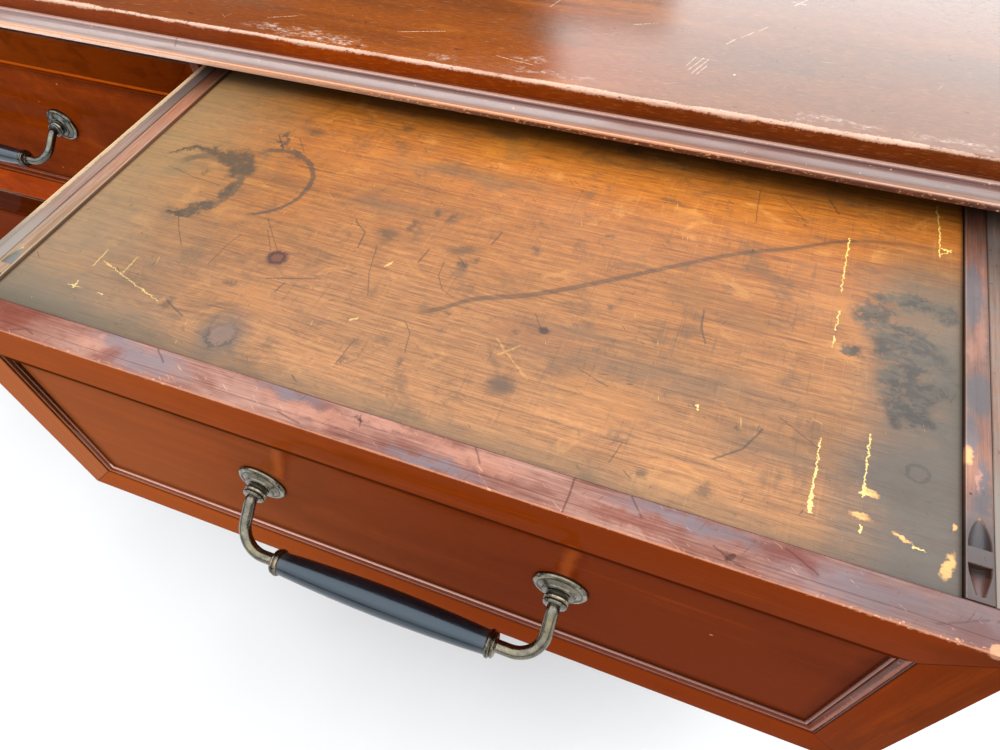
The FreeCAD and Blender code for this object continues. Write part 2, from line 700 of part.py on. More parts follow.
def moulding(name, side):
    """side: top, bottom, left or right strip, mitred at both ends."""
    body = new_body(name, *HERE)
    m = 1.0
    if side in ("top", "bottom"):
        sg = -1 if side == "top" else 1
        edge = zi0 if side == "top" else zi1
        sk = sketch(body, name + "_profile", "YZ_Plane", (ps, edge, -xi))
        poly(sk, [tuple((-(p[1]) if k == 0 else sg * p[0]) if k < 2 else (-(p[3]) if k == 2 else sg * p[2])
                        for k in range(len(p))) for p in MOULD])
        pad(body, sk, 2 * xi)
        cut = sketch(body, name + "_mitre", "XZ_Plane", (0, 0, 10))
        for k, s2 in enumerate((1, -1)):
            poly(cut, [(s2 * (xi + m), edge - sg * m), (s2 * (xi + m), edge + sg * 14.0), (s2 * (xi - 14.0), edge + sg * 14.0)], k)
        pocket(body, cut, 30, rev=False)
    else:
        sg = 1 if side == "left" else -1
        edge = -xi if side == "left" else xi
        sk = sketch(body, name + "_profile", "XY_Plane", (edge, ps, zi1))
        poly(sk, [tuple((sg * p[0] if k == 0 else -p[1]) if k < 2 else (sg * p[2] if k == 2 else -p[3])
                        for k in range(len(p))) for p in MOULD])
        pad(body, sk, zi0 - zi1)
        cut = sketch(body, name + "_mitre", "XZ_Plane", (0, 0, 10))
        for k, (ze, s2) in enumerate(((zi0, 1), (zi1, -1))):
            poly(cut, [(edge - sg * m, ze + s2 * m), (edge + sg * 14.0, ze + s2 * m), (edge + sg * 14.0, ze - s2 * 14.0)], k)
        pocket(body, cut, 30, rev=False)
    return body


strips = [moulding("panel_moulding_" + side, side) for side in ("top", "bottom", "left", "right")]
node(group(ur + "front_mouldings", strips), ur + "front_mouldings")

# Drawer sides: a groove for the bar's tongue, one for the drawer bottom, a
# housing for the back, and a front end let into the drawer front.
hd = D("housing_deep")
y_end = D("drawer_long")
y_bk0 = y_end - D("back_inset") - D("back_board")
y_bk1 = y_end - D("back_inset")
side = new_body(ur + "side_right", *HERE)
sk = sketch(side, "side_section", "XZ_Plane", (0, 0, -(ft - hd + 0.5)))
gt, gb = q(-4.7), q(-9.3)
poly(sk, [(xsi, 0), (xsi, gt), (xsi + 4, gt), (xsi + 4, gb), (xsi, gb), (xsi, zf1 + 0.1), (xsi + 6, zf1 + 0.1),
          (xsi + 6, zf0 - 0.1), (xsi, zf0 - 0.1), (xsi, zs), (xs, zs), (xs, 0)])
pad(side, sk, y_end - (ft - hd + 0.5), rev=True)
sk = sketch(side, "side_notch", "YZ_Plane", (0, 0, xsi - 1))
rect(sk, 0, ft + 0.2, -D("housing_drop") - 0.5, 1)
pocket(side, sk, D("side_thick") + 2, rev=True)
sk = sketch(side, "side_back_housing", "XY_Plane", (0, 0, zf1 - 0.05))
rect(sk, xsi - 1, xsi + 5, y_bk0 - 0.1, y_bk1 + 0.1)
pocket(side, sk, -12 - zf1 + 0.2, rev=True)
mid = Vector(HERE[0].v, 0, 0)
side_l = mirror(ur + "side_left", side, mid)
side_l.setExpression("Base.x", HERE[0].e)
node(side, side.Name)
node(side_l, side_l.Name)

z_led = -(D("lid_drop") + D("lid_thick")) - 0.1     # top of ledges and back
back = box(ur + "back", HERE[0] - xsi - 4.8, HERE[0] + xsi + 4.8, HERE[1] + y_bk0, HERE[1] + y_bk1,
           HERE[2] + zf1 + 0.2, HERE[2] + z_led)
node(back, back.Name)
floor = box(ur + "bottom", HERE[0] - xsi - 5.5, HERE[0] + xsi + 5.5, HERE[1] + ft - 7, HERE[1] + y_bk1,
            HERE[2] + zf0, HERE[2] + zf1)
node(floor, floor.Name)

# Ledges that carry the lid and the bars.
lw = D("ledge_wide")
zl0 = -D("ledge_low")
led = [
    box("ledge_right", HERE[0] + xsi - lw, HERE[0] + xsi - 0.1, HERE[1] + ft + 0.2, HERE[1] + y_bk0 - 0.2, HERE[2] + zl0, HERE[2] + z_led),
    box("ledge_left", HERE[0] - xsi + 0.1, HERE[0] - xsi + lw, HERE[1] + ft + 0.2, HERE[1] + y_bk0 - 0.2, HERE[2] + zl0, HERE[2] + z_led),
    box("ledge_front", HERE[0] - xsi + lw + 0.3, HERE[0] + xsi - lw - 0.3, HERE[1] + ft + 0.1, HERE[1] + ft + 16, HERE[2] + zl0, HERE[2] + z_led)]
node(group(ur + "lid_ledges", led), ur + "lid_ledges")

# The lid: one wide board, its two ends rebated to pass under the bars.
lid = new_body(ur + "lid", *HERE)
sk = sketch(lid, "lid_section", "XZ_Plane", (0, 0, -(ft + 0.4)))
l0, l1 = D("lid_half"), D("lid_half") + D("lid_tongue")
zl, zt = -D("lid_drop"), -(D("lid_drop") + D("lid_thick"))
zk = zt + D("tongue_thick")
poly(sk, [(-l0, zl), (l0, zl), (l0, zk), (l1, zk), (l1, zt), (-l1, zt), (-l1, zk), (-l0, zk)])
pad(lid, sk, y_bk1 - ft - 0.4, rev=True)
node(lid, lid.Name)

# Sliding bar: its lip covers the lid's edge, its tongue rides in the side's
# groove.  Two finger scoops face each other near its front end.
bar = new_body(ur + "lid_bar_right", *HERE)
y_bar = ft + D("bar_front")
e = D("bar_ease")
b0, b1, bt = D("bar_in"), D("bar_out"), -D("bar_drop")
sk = sketch(bar, "bar_section", "XZ_Plane", (0, 0, -y_bar))
poly(sk, [(b0, bt), (b1, bt), (b1, gt - e), (xsi + 4 - 0.5, gt - e), (xsi + 4 - 0.5, gb + e), (b1, gb + e), (b1, z_led + e),
          (l1 + 0.4, z_led + e), (l1 + 0.4, zk + e), (b0, zk + e)])
pad(bar, sk, D("bar_long"), rev=True)
bx = (b0 + b1) / 2
rr = D("scoop_half")
# rear scoop: a pointed arch turned about a line just above the bar's top
L1 = VAL["scoop_tip_rear"] - VAL["scoop_wall_rear"]
R1 = (L1 * L1 + VAL["scoop_half"] ** 2) / (2 * VAL["scoop_half"])
a = 0.5 * math.asin(L1 / R1)
mx, my = VAL["scoop_half"] - R1 * (1 - math.cos(a)), R1 * math.sin(a)
sk = sketch(bar, "scoop_rear", "XY_Plane", (bx, 0, bt + 0.6))
yw, yt = D("scoop_wall_rear"), D("scoop_tip_rear")
poly(sk, [(0, yw), (rr, yw, q(mx), yw + my), (0, yt)])
revolve(bar, sk, "V_Axis", cut=True)
# front scoop: narrows like a shield to a blunt end
sk = sketch(bar, "scoop_front", "XY_Plane", (bx, 0, bt + 0.6))
yw, yt = D("scoop_wall_front"), D("scoop_tip_front")
L2 = VAL["scoop_wall_front"] - VAL["scoop_tip_front"]
poly(sk, [(0, yw), (0, yt), (rr * 0.4, yt + 0.5), (rr * 0.74, yw - 9.5), (rr * 0.93, yw - 5), (rr, yw)])
revolve(bar, sk, "V_Axis", cut=True)
bar_l = mirror(ur + "lid_bar_left", bar, mid)
bar_l.setExpression("Base.x", HERE[0].e)
node(bar, bar.Name)
node(bar_l, bar_l.Name)

# ---------------------------------------------------------------- the handle
# Handle frame: x from the handle's middle, y and z as the drawer's.  Built for
# the middle of the front; the upper right one is set a little to the right.
HANDLE = (ur_x + D("handle_shift"), y_open, z_up_top)

# Rosette: a rolled rim, a cove up to a step, and a neck with two rounded rings.
ros = new_body("rosette_right", HANDLE[0] + D("handle_half"), HANDLE[1] + ps, HANDLE[2] - D("rosette_drop"))
sk = sketch(ros, "rosette_profile", "XY_Plane")
ri, ro = D("arm_half") + 0.1, D("rosette_half")
prof = [(0, 0), (ro, 0), (ro, 1.6), (ro - 0.4, 2.7), (ro - 1.5, 3.5), (ro - 2.8, 3.5), (ro - 3.7, 3.1), (ro - 4.5, 3.5), (11.6, 5.2),
        (11.2, 6.1), (10.1, 6.6), (8.4, 6.9), (7.4, 7.6), (7.3, 8.3), (8.0, 8.8), (8.7, 9.6), (8.9, 10.5), (8.5, 11.5),
        (8.0, 12.0), (8.3, 12.5), (8.3, 13.3), (7.7, 14.1), (6.6, 14.6), (ri, 14.8)]
poly(sk, [(ri, 0)] + [(x, -y) for x, y in prof[1:-1]] + [(ri, -14.8)])
revolve(ros, sk, "V_Axis")
hmid = Vector(HANDLE[0].v, 0, 0)
ros_l = mirror("rosette_left", ros, hmid)
ros_l.setExpression("Base.x", HANDLE[0].e)
node(group(ur + "handle_rosettes", [ros, ros_l]), ur + "handle_rosettes")


def bent(points, radii):
    """A wire of straight runs joined by tangent arcs."""
    out = []
    start = points[0]
    for i in range(1, len(points) - 1):
        p, k, n = points[i - 1], points[i], points[i + 1]
        a1, a2 = (p - k), (n - k)
        a1.normalize()
        a2.normalize()
        ang = a1.getAngle(a2)
        tl = radii[i - 1] / math.tan(ang / 2)
        t1, t2 = k + a1 * tl, k + a2 * tl
        bis = a1 + a2
        bis.normalize()
        cen = k + bis * (radii[i - 1] / math.sin(ang / 2))
        m = k - cen
        m.normalize()
        m = cen + m * radii[i - 1]
        out.append(Part.LineSegment(start, t1).toShape())
        out.append(Part.Arc(t1, m, t2).toShape())
        start = t2
    out.append(Part.LineSegment(start, points[-1]).toShape())
    return Part.Wire(out)


# Arm: a round bar that comes through the panel and the rosette, drops forward,
# turns in along the grip's axis and ends in a collar of two rings.
H = {k: VAL[k] for k in ("handle_half", "rosette_drop", "grip_drop", "grip_out", "arm_half", "arm_bend", "neck_bend", "collar_mid", "collar_half")}
shank_end = VAL["panel_sunk"] + VAL["panel_thick"] + 7.5
pts = [Vector(H["handle_half"], shank_end, -H["rosette_drop"]),
       Vector(H["handle_half"], -12.8, -H["rosette_drop"]),
       Vector(H["handle_half"], -H["grip_out"], -H["grip_drop"]),
       Vector(H["collar_mid"], -H["grip_out"], -H["grip_drop"])]
spine = bent(pts, [H["neck_bend"], H["arm_bend"]])
ring = Part.Wire([Part.Circle(pts[0], Vector(0, 1, 0), H["arm_half"]).toShape()])
tube = spine.makePipeShell([ring], True, True)
tube_check = math.pi * H["arm_half"] ** 2 * spine.Length
if abs(tube.Volume - tube_check) > 0.02 * tube_check:
    raise RuntimeError("arm tube %.1f against %.1f" % (tube.Volume, tube_check))
cm, ch = H["collar_mid"], H["collar_half"]
prof = [(-3.0, 3.1), (-3.0, 8.3), (-2.6, 9.1), (-1.6, ch), (-0.3, ch), (0.5, 8.8), (0.8, 8.2), (1.1, 8.5), (1.9, 8.9), (2.6, 8.5),
        (3.1, 7.4), (3.4, 5.6), (4.0, 4.6), (4.0, 3.1)]
wire = Part.makePolygon([Vector(cm + a, -H["grip_out"] - r, -H["grip_drop"]) for a, r in prof + prof[:1]])
collar = Part.Face(wire).revolve(Vector(0, -H["grip_out"], -H["grip_drop"]), Vector(1, 0, 0), 360)
arm_shape = tube.fuse(collar)
# socket for the rod that carries the grip
socket = Part.makeCylinder(3.1, 9.0, Vector(cm - 3.5, -H["grip_out"], -H["grip_drop"]), Vector(1, 0, 0))
arm_shape = arm_shape.cut(socket).removeSplitter()
if len(arm_shape.Solids) != 1:
    raise RuntimeError("arm is %d solids" % len(arm_shape.Solids))
arm_shape = arm_shape.Solids[0]
arm = doc.addObject("Part::Feature", ur + "handle_arm_right")
arm.Shape = arm_shape
place(arm, *HANDLE)
arm_l = mirror(ur + "handle_arm_left", arm, hmid)
arm_l.setExpression("Base.x", HANDLE[0].e)
node(arm, arm.Name)
node(arm_l, arm_l.Name)

# Grip: turned, fullest in the middle, on a rod between the two sockets.
grip = new_body("grip_wood", HANDLE[0], HANDLE[1] - D("grip_out"), HANDLE[2] - D("grip_drop"))
sk = sketch(grip, "grip_profile", "XY_Plane")
gl = D("collar_mid") - 3.1
poly(sk, [(-gl, 3.1), (-gl, D("grip_end_half"), 0, D("grip_mid_half")), (gl, D("grip_end_half")), (gl, 3.1)])
revolve(grip, sk, "H_Axis")
rod = doc.addObject("Part::Cylinder", "grip_rod")
bind(rod, "Radius", 3)
bind(rod, "Height", 2 * D("collar_mid") + 10)
rod.Placement = Placement(Vector(HANDLE[0].v - VAL["collar_mid"] - 5, HANDLE[1].v - VAL["grip_out"], HANDLE[2].v - VAL["grip_drop"]),
                          Rotation(Vector(0, 1, 0), 90))
for c, v in (("x", HANDLE[0] - D("collar_mid") - 5), ("y", HANDLE[1] - D("grip_out")), ("z", HANDLE[2] - D("grip_drop"))):
    rod.setExpression("Placement.Base.%s" % c, v.e)
node(group(ur + "handle_grip", [grip, rod]), ur + "handle_grip")

# Nuts and washers behind the panel.
y_w = ps + pt
nuts = []
for k, sg in enumerate((1, -1)):
    nb = new_body("handle_nut_%d" % k, HANDLE[0] + sg * D("handle_half"), HANDLE[1] + y_w + 1.6, HANDLE[2] - D("rosette_drop"))
    sk = sketch(nb, "nut_face_%d" % k, "XZ_Plane")
    rn = 7.6
    poly(sk, [(rn * math.cos(math.radians(60 * i + 15 * k)), rn * math.sin(math.radians(60 * i + 15 * k))) for i in range(6)])
    pad(nb, sk, 5, rev=True)
    sk = sketch(nb, "nut_bore_%d" % k, "XZ_Plane", (0, 0, 1))
    g = sk.addGeometry(Part.Circle(Vector(0, 0, 0), Vector(0, 0, 1), VAL["arm_half"] + 0.1), False)
    sk.addConstraint(Sketcher.Constraint("Coincident", g, 3, -1, 1))
    c = sk.addConstraint(Sketcher.Constraint("Radius", g, VAL["arm_half"] + 0.1))
    sk.renameConstraint(c, "bore")
    sk.setExpression("Constraints.bore", "Sheet.arm_half + 0.1")
    pocket(nb, sk, 8, rev=False)
    wb = new_body("handle_washer_%d" % k, HANDLE[0] + sg * D("handle_half"), HANDLE[1] + y_w, HANDLE[2] - D("rosette_drop"))
    sk = sketch(wb, "washer_section_%d" % k, "XY_Plane")
    rect(sk, D("arm_half") + 0.1, 9, 0, 1.5)
    revolve(wb, sk, "V_Axis")
    nuts += [nb, wb]
node(group(ur + "handle_nuts", nuts), ur + "handle_nuts")

doc.recompute()

# ---------------------------------------------------------------- the shut drawers
# Same pieces, moved to their own places.
for tag, xm, zt_, in (("upper_left_", ul_x, z_up_top), ("lower_right_", lr_x, z_low_top), ("lower_left_", ll_x, z_low_top)):
    dx, dy, dz = xm - ur_x, D("pull_out"), zt_ - z_up_top
    for name, parts in (
            ("front", [head, foot, lst, rst, panel_mid] + strips),
            ("box", [side, side_l, back, floor] + led),
            ("lid", [lid]),
            ("lid_bar_left", [bar_l]),
            ("lid_bar_right", [bar])):
        g = group(tag + name, parts)
        place(g, dx, dy, dz)
        node(g, tag + name)
    g = group(tag + "handle", [ros, ros_l, arm, arm_l] + nuts)
    place(g, dx - D("handle_shift"), dy, dz)
    node(g, tag + "handle")
    g = group(tag + "handle_grip", [grip, rod])
    place(g, dx - D("handle_shift"), dy, dz)
    node(g, tag + "handle_grip")

doc.recompute()

# ---------------------------------------------------------------- checks and output
bad = [o.Name for o in doc.Objects if any(s_ in ("Invalid", "Error") for s_ in o.State)]
if bad:
    raise RuntimeError("failed objects: %s" % bad)
names = [n for n, _ in NODES]
if len(set(names)) != len(names) or len(names) > 60:
    raise RuntimeError("node names: %d" % len(names))
for name, obj in NODES:
    sh = obj.Shape
    if sh.isNull() or not sh.isValid() or not sh.Solids:
        raise RuntimeError("bad shape: " + name)
os.makedirs("parts", exist_ok=True)
for f_ in os.listdir("parts"):
    if f_.endswith(".step") and f_[:-5] not in names:
        os.remove(os.path.join("parts", f_))
for name, obj in NODES:
    obj.Shape.exportStep("parts/%s.step" % name)
    bb_ = obj.Shape.BoundBox
    print("%-34s solids %2d  vol %9.0f  x %8.1f %8.1f  y %8.1f %8.1f  z %7.1f %7.1f" % (
        name, len(obj.Shape.Solids), obj.Shape.Volume, bb_.XMin, bb_.XMax, bb_.YMin, bb_.YMax, bb_.ZMin, bb_.ZMax))
print("nodes", len(NODES))
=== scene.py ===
import json
import math

import bmesh
import bpy
from mathutils import Matrix, Vector

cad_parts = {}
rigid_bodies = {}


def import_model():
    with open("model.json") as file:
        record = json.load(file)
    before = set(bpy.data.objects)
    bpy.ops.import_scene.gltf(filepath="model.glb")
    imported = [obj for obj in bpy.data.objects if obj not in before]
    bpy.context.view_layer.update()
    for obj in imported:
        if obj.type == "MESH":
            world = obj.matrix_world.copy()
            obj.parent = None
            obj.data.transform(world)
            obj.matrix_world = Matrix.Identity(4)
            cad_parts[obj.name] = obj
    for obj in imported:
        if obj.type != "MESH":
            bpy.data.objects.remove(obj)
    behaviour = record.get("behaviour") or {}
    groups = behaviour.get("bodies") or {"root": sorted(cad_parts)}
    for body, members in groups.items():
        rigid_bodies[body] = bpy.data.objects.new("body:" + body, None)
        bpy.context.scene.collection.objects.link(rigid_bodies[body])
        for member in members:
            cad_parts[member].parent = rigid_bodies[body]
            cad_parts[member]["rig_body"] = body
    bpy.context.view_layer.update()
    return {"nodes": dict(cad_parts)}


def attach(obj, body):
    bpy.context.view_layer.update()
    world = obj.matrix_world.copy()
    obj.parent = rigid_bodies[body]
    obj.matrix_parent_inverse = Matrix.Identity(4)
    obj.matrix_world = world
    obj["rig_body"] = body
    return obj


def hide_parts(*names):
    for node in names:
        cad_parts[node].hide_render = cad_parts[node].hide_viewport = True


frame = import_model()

NODES = frame["nodes"]
BODY = {n: o["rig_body"] for n, o in NODES.items()}

# Places of the four drawers: middle of the front, front face, top edge (mm).
DR = {"upper_right": (349.2, -577.0, 584.0), "upper_left": (-350.6, -256.0, 584.0),
      "lower_right": (350.0, -256.0, 333.0), "lower_left": (-350.0, -256.0, 333.0)}
HX = {"upper_right": 5.0, "upper_left": 0.0, "lower_right": 0.0, "lower_left": 0.0}


# ------------------------------------------------------------------ node maths
class V:
    """A value in a node tree; arithmetic on it makes Math nodes."""

    def __init__(self, g, s):
        self.g, self.s = g, s

    def __add__(self, o): return self.g.m("ADD", self, o)
    __radd__ = __add__
    def __sub__(self, o): return self.g.m("SUBTRACT", self, o)
    def __rsub__(self, o): return self.g.m("SUBTRACT", o, self)
    def __mul__(self, o): return self.g.m("MULTIPLY", self, o)
    __rmul__ = __mul__
    def __truediv__(self, o): return self.g.m("DIVIDE", self, o)
    def __neg__(self): return self.g.m("MULTIPLY", self, -1.0)
    def __abs__(self): return self.g.m("ABSOLUTE", self)


class Graph:
    def __init__(self, tree):
        self.t = tree

    def node(self, kind, **props):
        n = self.t.nodes.new(kind)
        for k, v in props.items():
            setattr(n, k, v)
        return n

    def put(self, sock, v):
        if isinstance(v, V):
            self.t.links.new(v.s, sock)
        elif isinstance(v, (tuple, list)):
            v = tuple(v)
            if sock.type == "RGBA" and len(v) == 3:
                v = v + (1.0,)
            sock.default_value = v
        else:
            sock.default_value = v

    def m(self, op, a, b=None, c=None, clamp=False):
        n = self.node("ShaderNodeMath", operation=op, use_clamp=clamp)
        self.put(n.inputs[0], a)
        if b is not None:
            self.put(n.inputs[1], b)
        if c is not None:
            self.put(n.inputs[2], c)
        return V(self, n.outputs[0])

    def mn(self, a, b): return self.m("MINIMUM", a, b)
    def mx(self, a, b): return self.m("MAXIMUM", a, b)

    def vm(self, op, a, b=None, scale=None, out=0):
        n = self.node("ShaderNodeVectorMath", operation=op)
        self.put(n.inputs[0], a)
        if b is not None:
            self.put(n.inputs[1], b)
        if scale is not None:
            self.put(n.inputs["Scale"], scale)
        return V(self, n.outputs[out])

    def xyz(self, v):
        n = self.node("ShaderNodeSeparateXYZ")
        self.put(n.inputs[0], v)
        return [V(self, o) for o in n.outputs]

    def node_rgb(self, r, g_, b):
        n = self.node("ShaderNodeCombineColor")
        for i, v in enumerate((r, g_, b)):
            self.put(n.inputs[i], v)
        return V(self, n.outputs[0])

    def vec(self, x=0.0, y=0.0, z=0.0):
        n = self.node("ShaderNodeCombineXYZ")
        for i, v in enumerate((x, y, z)):
            self.put(n.inputs[i], v)
        return V(self, n.outputs[0])

    def noise(self, v, scale=1.0, detail=2.0, rough=0.5, dist=0.0, col=False):
        n = self.node("ShaderNodeTexNoise")
        n.inputs["Scale"].default_value = scale
        n.inputs["Detail"].default_value = detail
        n.inputs["Roughness"].default_value = rough
        n.inputs["Distortion"].default_value = dist
        self.put(n.inputs["Vector"], v)
        return V(self, n.outputs["Color" if col else 0])

    def voro(self, v, scale=1.0, feature="F1", rand=1.0, out="Distance"):
        n = self.node("ShaderNodeTexVoronoi", feature=feature)
        n.inputs["Scale"].default_value = scale
        n.inputs["Randomness"].default_value = rand
        self.put(n.inputs["Vector"], v)
        return V(self, n.outputs[out])

    def mr(self, v, a, b, c=0.0, d=1.0, smooth=True):
        n = self.node("ShaderNodeMapRange", interpolation_type="SMOOTHSTEP" if smooth else "LINEAR")
        for i, x in enumerate((v, a, b, c, d)):
            self.put(n.inputs[i], x)
        return V(self, n.outputs[0])

    def mix(self, f, a, b, blend="MIX"):
        n = self.node("ShaderNodeMix", data_type="RGBA", blend_type=blend)
        self.put(n.inputs[0], f)
        self.put(n.inputs[6], a)
        self.put(n.inputs[7], b)
        return V(self, n.outputs[2])

    def ramp(self, f, stops):
        n = self.node("ShaderNodeValToRGB")
        el = n.color_ramp.elements
        while len(el) < len(stops):
            el.new(0.5)
        for e, (p, c) in zip(el, stops):
            e.position = p
            e.color = (*c, 1.0)
        self.put(n.inputs[0], f)
        return V(self, n.outputs[0])

    def curve(self, v, pts, lo, hi, ylo, yhi):
        """A smooth function through the points, for v from lo to hi."""
        n = self.node("ShaderNodeFloatCurve")
        c = n.mapping.curves[0]
        while len(c.points) < len(pts):
            c.points.new(0.5, 0.5)
        for p, (x, y) in zip(c.points, sorted(pts)):
            p.location = ((x - lo) / (hi - lo), (y - ylo) / (yhi - ylo))
            p.handle_type = "AUTO"
        n.mapping.update()
        self.put(n.inputs["Value"], self.mr(v, lo, hi, smooth=False))
        return V(self, n.outputs[0]) * (yhi - ylo) + ylo

    def warp(self, v, scale, detail=3, rough=0.6, amount=10.0):
        """A wandering offset in x and y, plus its two parts."""
        n = self.node("ShaderNodeTexNoise")
        n.inputs["Scale"].default_value = scale
        n.inputs["Detail"].default_value = detail
        n.inputs["Roughness"].default_value = rough
        self.put(n.inputs["Vector"], v)
        s = self.node("ShaderNodeSeparateColor")
        self.t.links.new(n.outputs["Color"], s.inputs[0])
        a = (V(self, s.outputs[0]) - 0.5) * amount
        b = (V(self, s.outputs[1]) - 0.5) * amount
        return self.vec(a, b, 0), a, b

    # ---- marks on a flat face; q is the vector (x, y, 0) in mm
    def near_line(self, q, a, b):
        """Distance from the line between a and b."""
        ax, ay = a
        dx, dy = b[0] - ax, b[1] - ay
        k = max(dx * dx + dy * dy, 1e-9)
        pa = self.vm("SUBTRACT", q, (ax, ay, 0))
        t = self.mn(self.mx(self.vm("DOT_PRODUCT", pa, (dx / k, dy / k, 0), out=1), 0.0), 1.0)
        return self.vm("DISTANCE", pa, self.vm("SCALE", (dx, dy, 0), scale=t), out=1)

    def strokes(self, q, paths, w, soft=0.5):
        """1 within w of any of the open lines, 0 beyond w + soft."""
        d = None
        for pts in paths:
            for a, b in zip(pts, pts[1:]):
                n = self.near_line(q, a, b)
                d = n if d is None else self.mn(d, n)
        return self.mr(d, w + soft, w, smooth=False)

    def blobs(self, q, items, edge=0.35):
        """1 inside any ellipse (cx, cy, rx, ry, turn), 0 past the share edge of its radius."""
        d = None
        for cx, cy, rx, ry, *turn in items:
            p = self.vm("SUBTRACT", q, (cx, cy, 0))
            if turn and turn[0]:
                c, s = math.cos(math.radians(turn[0])), math.sin(math.radians(turn[0]))
                x = self.vm("DOT_PRODUCT", p, (c / rx, s / rx, 0), out=1)
                y = self.vm("DOT_PRODUCT", p, (-s / ry, c / ry, 0), out=1)
                r = self.m("SQRT", x * x + y * y)
            else:
                r = self.vm("LENGTH", self.vm("MULTIPLY", p, (1 / rx, 1 / ry, 0)), out=1)
            d = r if d is None else self.mn(d, r)
        return self.mr(d, 1 + edge, 1 - edge)

    def turned(self, x, y, deg):
        a = math.radians(deg)
        return x * math.cos(a) + y * math.sin(a), y * math.cos(a) - x * math.sin(a)


def srgb(r, g, b):
    """Linear colour of an 8-bit one."""
    f = lambda c: c / 12.92 if c <= 0.04045 else ((c + 0.055) / 1.055) ** 2.4
    return (f(r / 255.0), f(g / 255.0), f(b / 255.0))


def start(name, rough=0.4, spec=0.5, coat=0.0, coat_rough=0.1, metal=0.0, tint=None, ior=1.5):
    m = bpy.data.materials.new(name)
    m.use_nodes = True
    t = m.node_tree
    t.nodes.clear()
    g = Graph(t)
    out = g.node("ShaderNodeOutputMaterial")
    b = g.node("ShaderNodeBsdfPrincipled")
    t.links.new(b.outputs[0], out.inputs[0])
    b.inputs["Roughness"].default_value = rough
    b.inputs["Metallic"].default_value = metal
    b.inputs["IOR"].default_value = ior
    b.inputs["Specular IOR Level"].default_value = spec
    b.inputs["Coat Weight"].default_value = coat
    b.inputs["Coat Roughness"].default_value = coat_rough
    if tint:
        b.inputs["Specular Tint"].default_value = (*tint, 1.0)
    g.bsdf = b
    g.mat = m
    co = g.node("ShaderNodeTexCoord")
    g.raw = V(g, co.outputs["Object"])
    return g


def finish_mat(g, colour, rough=None, height=None, strength=0.3, distance=0.0005, coat=False):
    g.put(g.bsdf.inputs["Base Color"], colour)
    if rough is not None:
        g.put(g.bsdf.inputs["Roughness"], rough)
    if height is not None:
        n = g.node("ShaderNodeBump")
        n.inputs["Strength"].default_value = strength
        n.inputs["Distance"].default_value = distance
        g.put(n.inputs["Height"], height)
        g.t.links.new(n.outputs[0], g.bsdf.inputs["Normal"])
        if coat:
            g.t.links.new(n.outputs[0], g.bsdf.inputs["Coat Normal"])
    return g.mat


def local(g, origin):
    """Coordinates in mm from a point of the row frame."""
    return g.vm("SUBTRACT", g.vm("SCALE", g.raw, scale=1000.0), tuple(origin))


def along(g, p, axis, stretch, shift=(0, 0, 0)):
    """The same coordinates pressed together along the grain."""
    k = [1.0, 1.0, 1.0]
    k[axis] = stretch
    return g.vm("ADD", g.vm("MULTIPLY", p, tuple(k)), tuple(shift))


# ------------------------------------------------------------------ woods
def mahogany(g, p, axis, dark, mid, light, shift=(0, 0, 0), figure=1.0, across=0.02, pores_on=0.35):
    """Broad figure, growth bands and short dark pores; returns the colour and a height."""
    fig = g.noise(along(g, p, axis, 0.14, shift), across, 3, 0.55, 0.4)
    band = g.noise(along(g, p, axis, 0.035, shift), 0.16, 4, 0.6, 0.25)
    fine = g.noise(along(g, p, axis, 0.03, shift), 1.1, 3, 0.65)
    tone = fig * (0.6 * figure) + band * 0.5 + fine * 0.3 - (0.2 + 0.3 * figure)
    c = g.ramp(tone, [(0.24, dark), (0.5, mid), (0.78, light)])
    pores = g.noise(along(g, p, axis, 0.09, shift), 1.7, 1, 0.5)
    pore = g.mr(pores, 0.62, 0.72)
    c = g.mix(pore * pores_on, c, tuple(x * 0.4 for x in dark))
    return c, fine * 0.6 + band * 0.4 - pore * 0.7


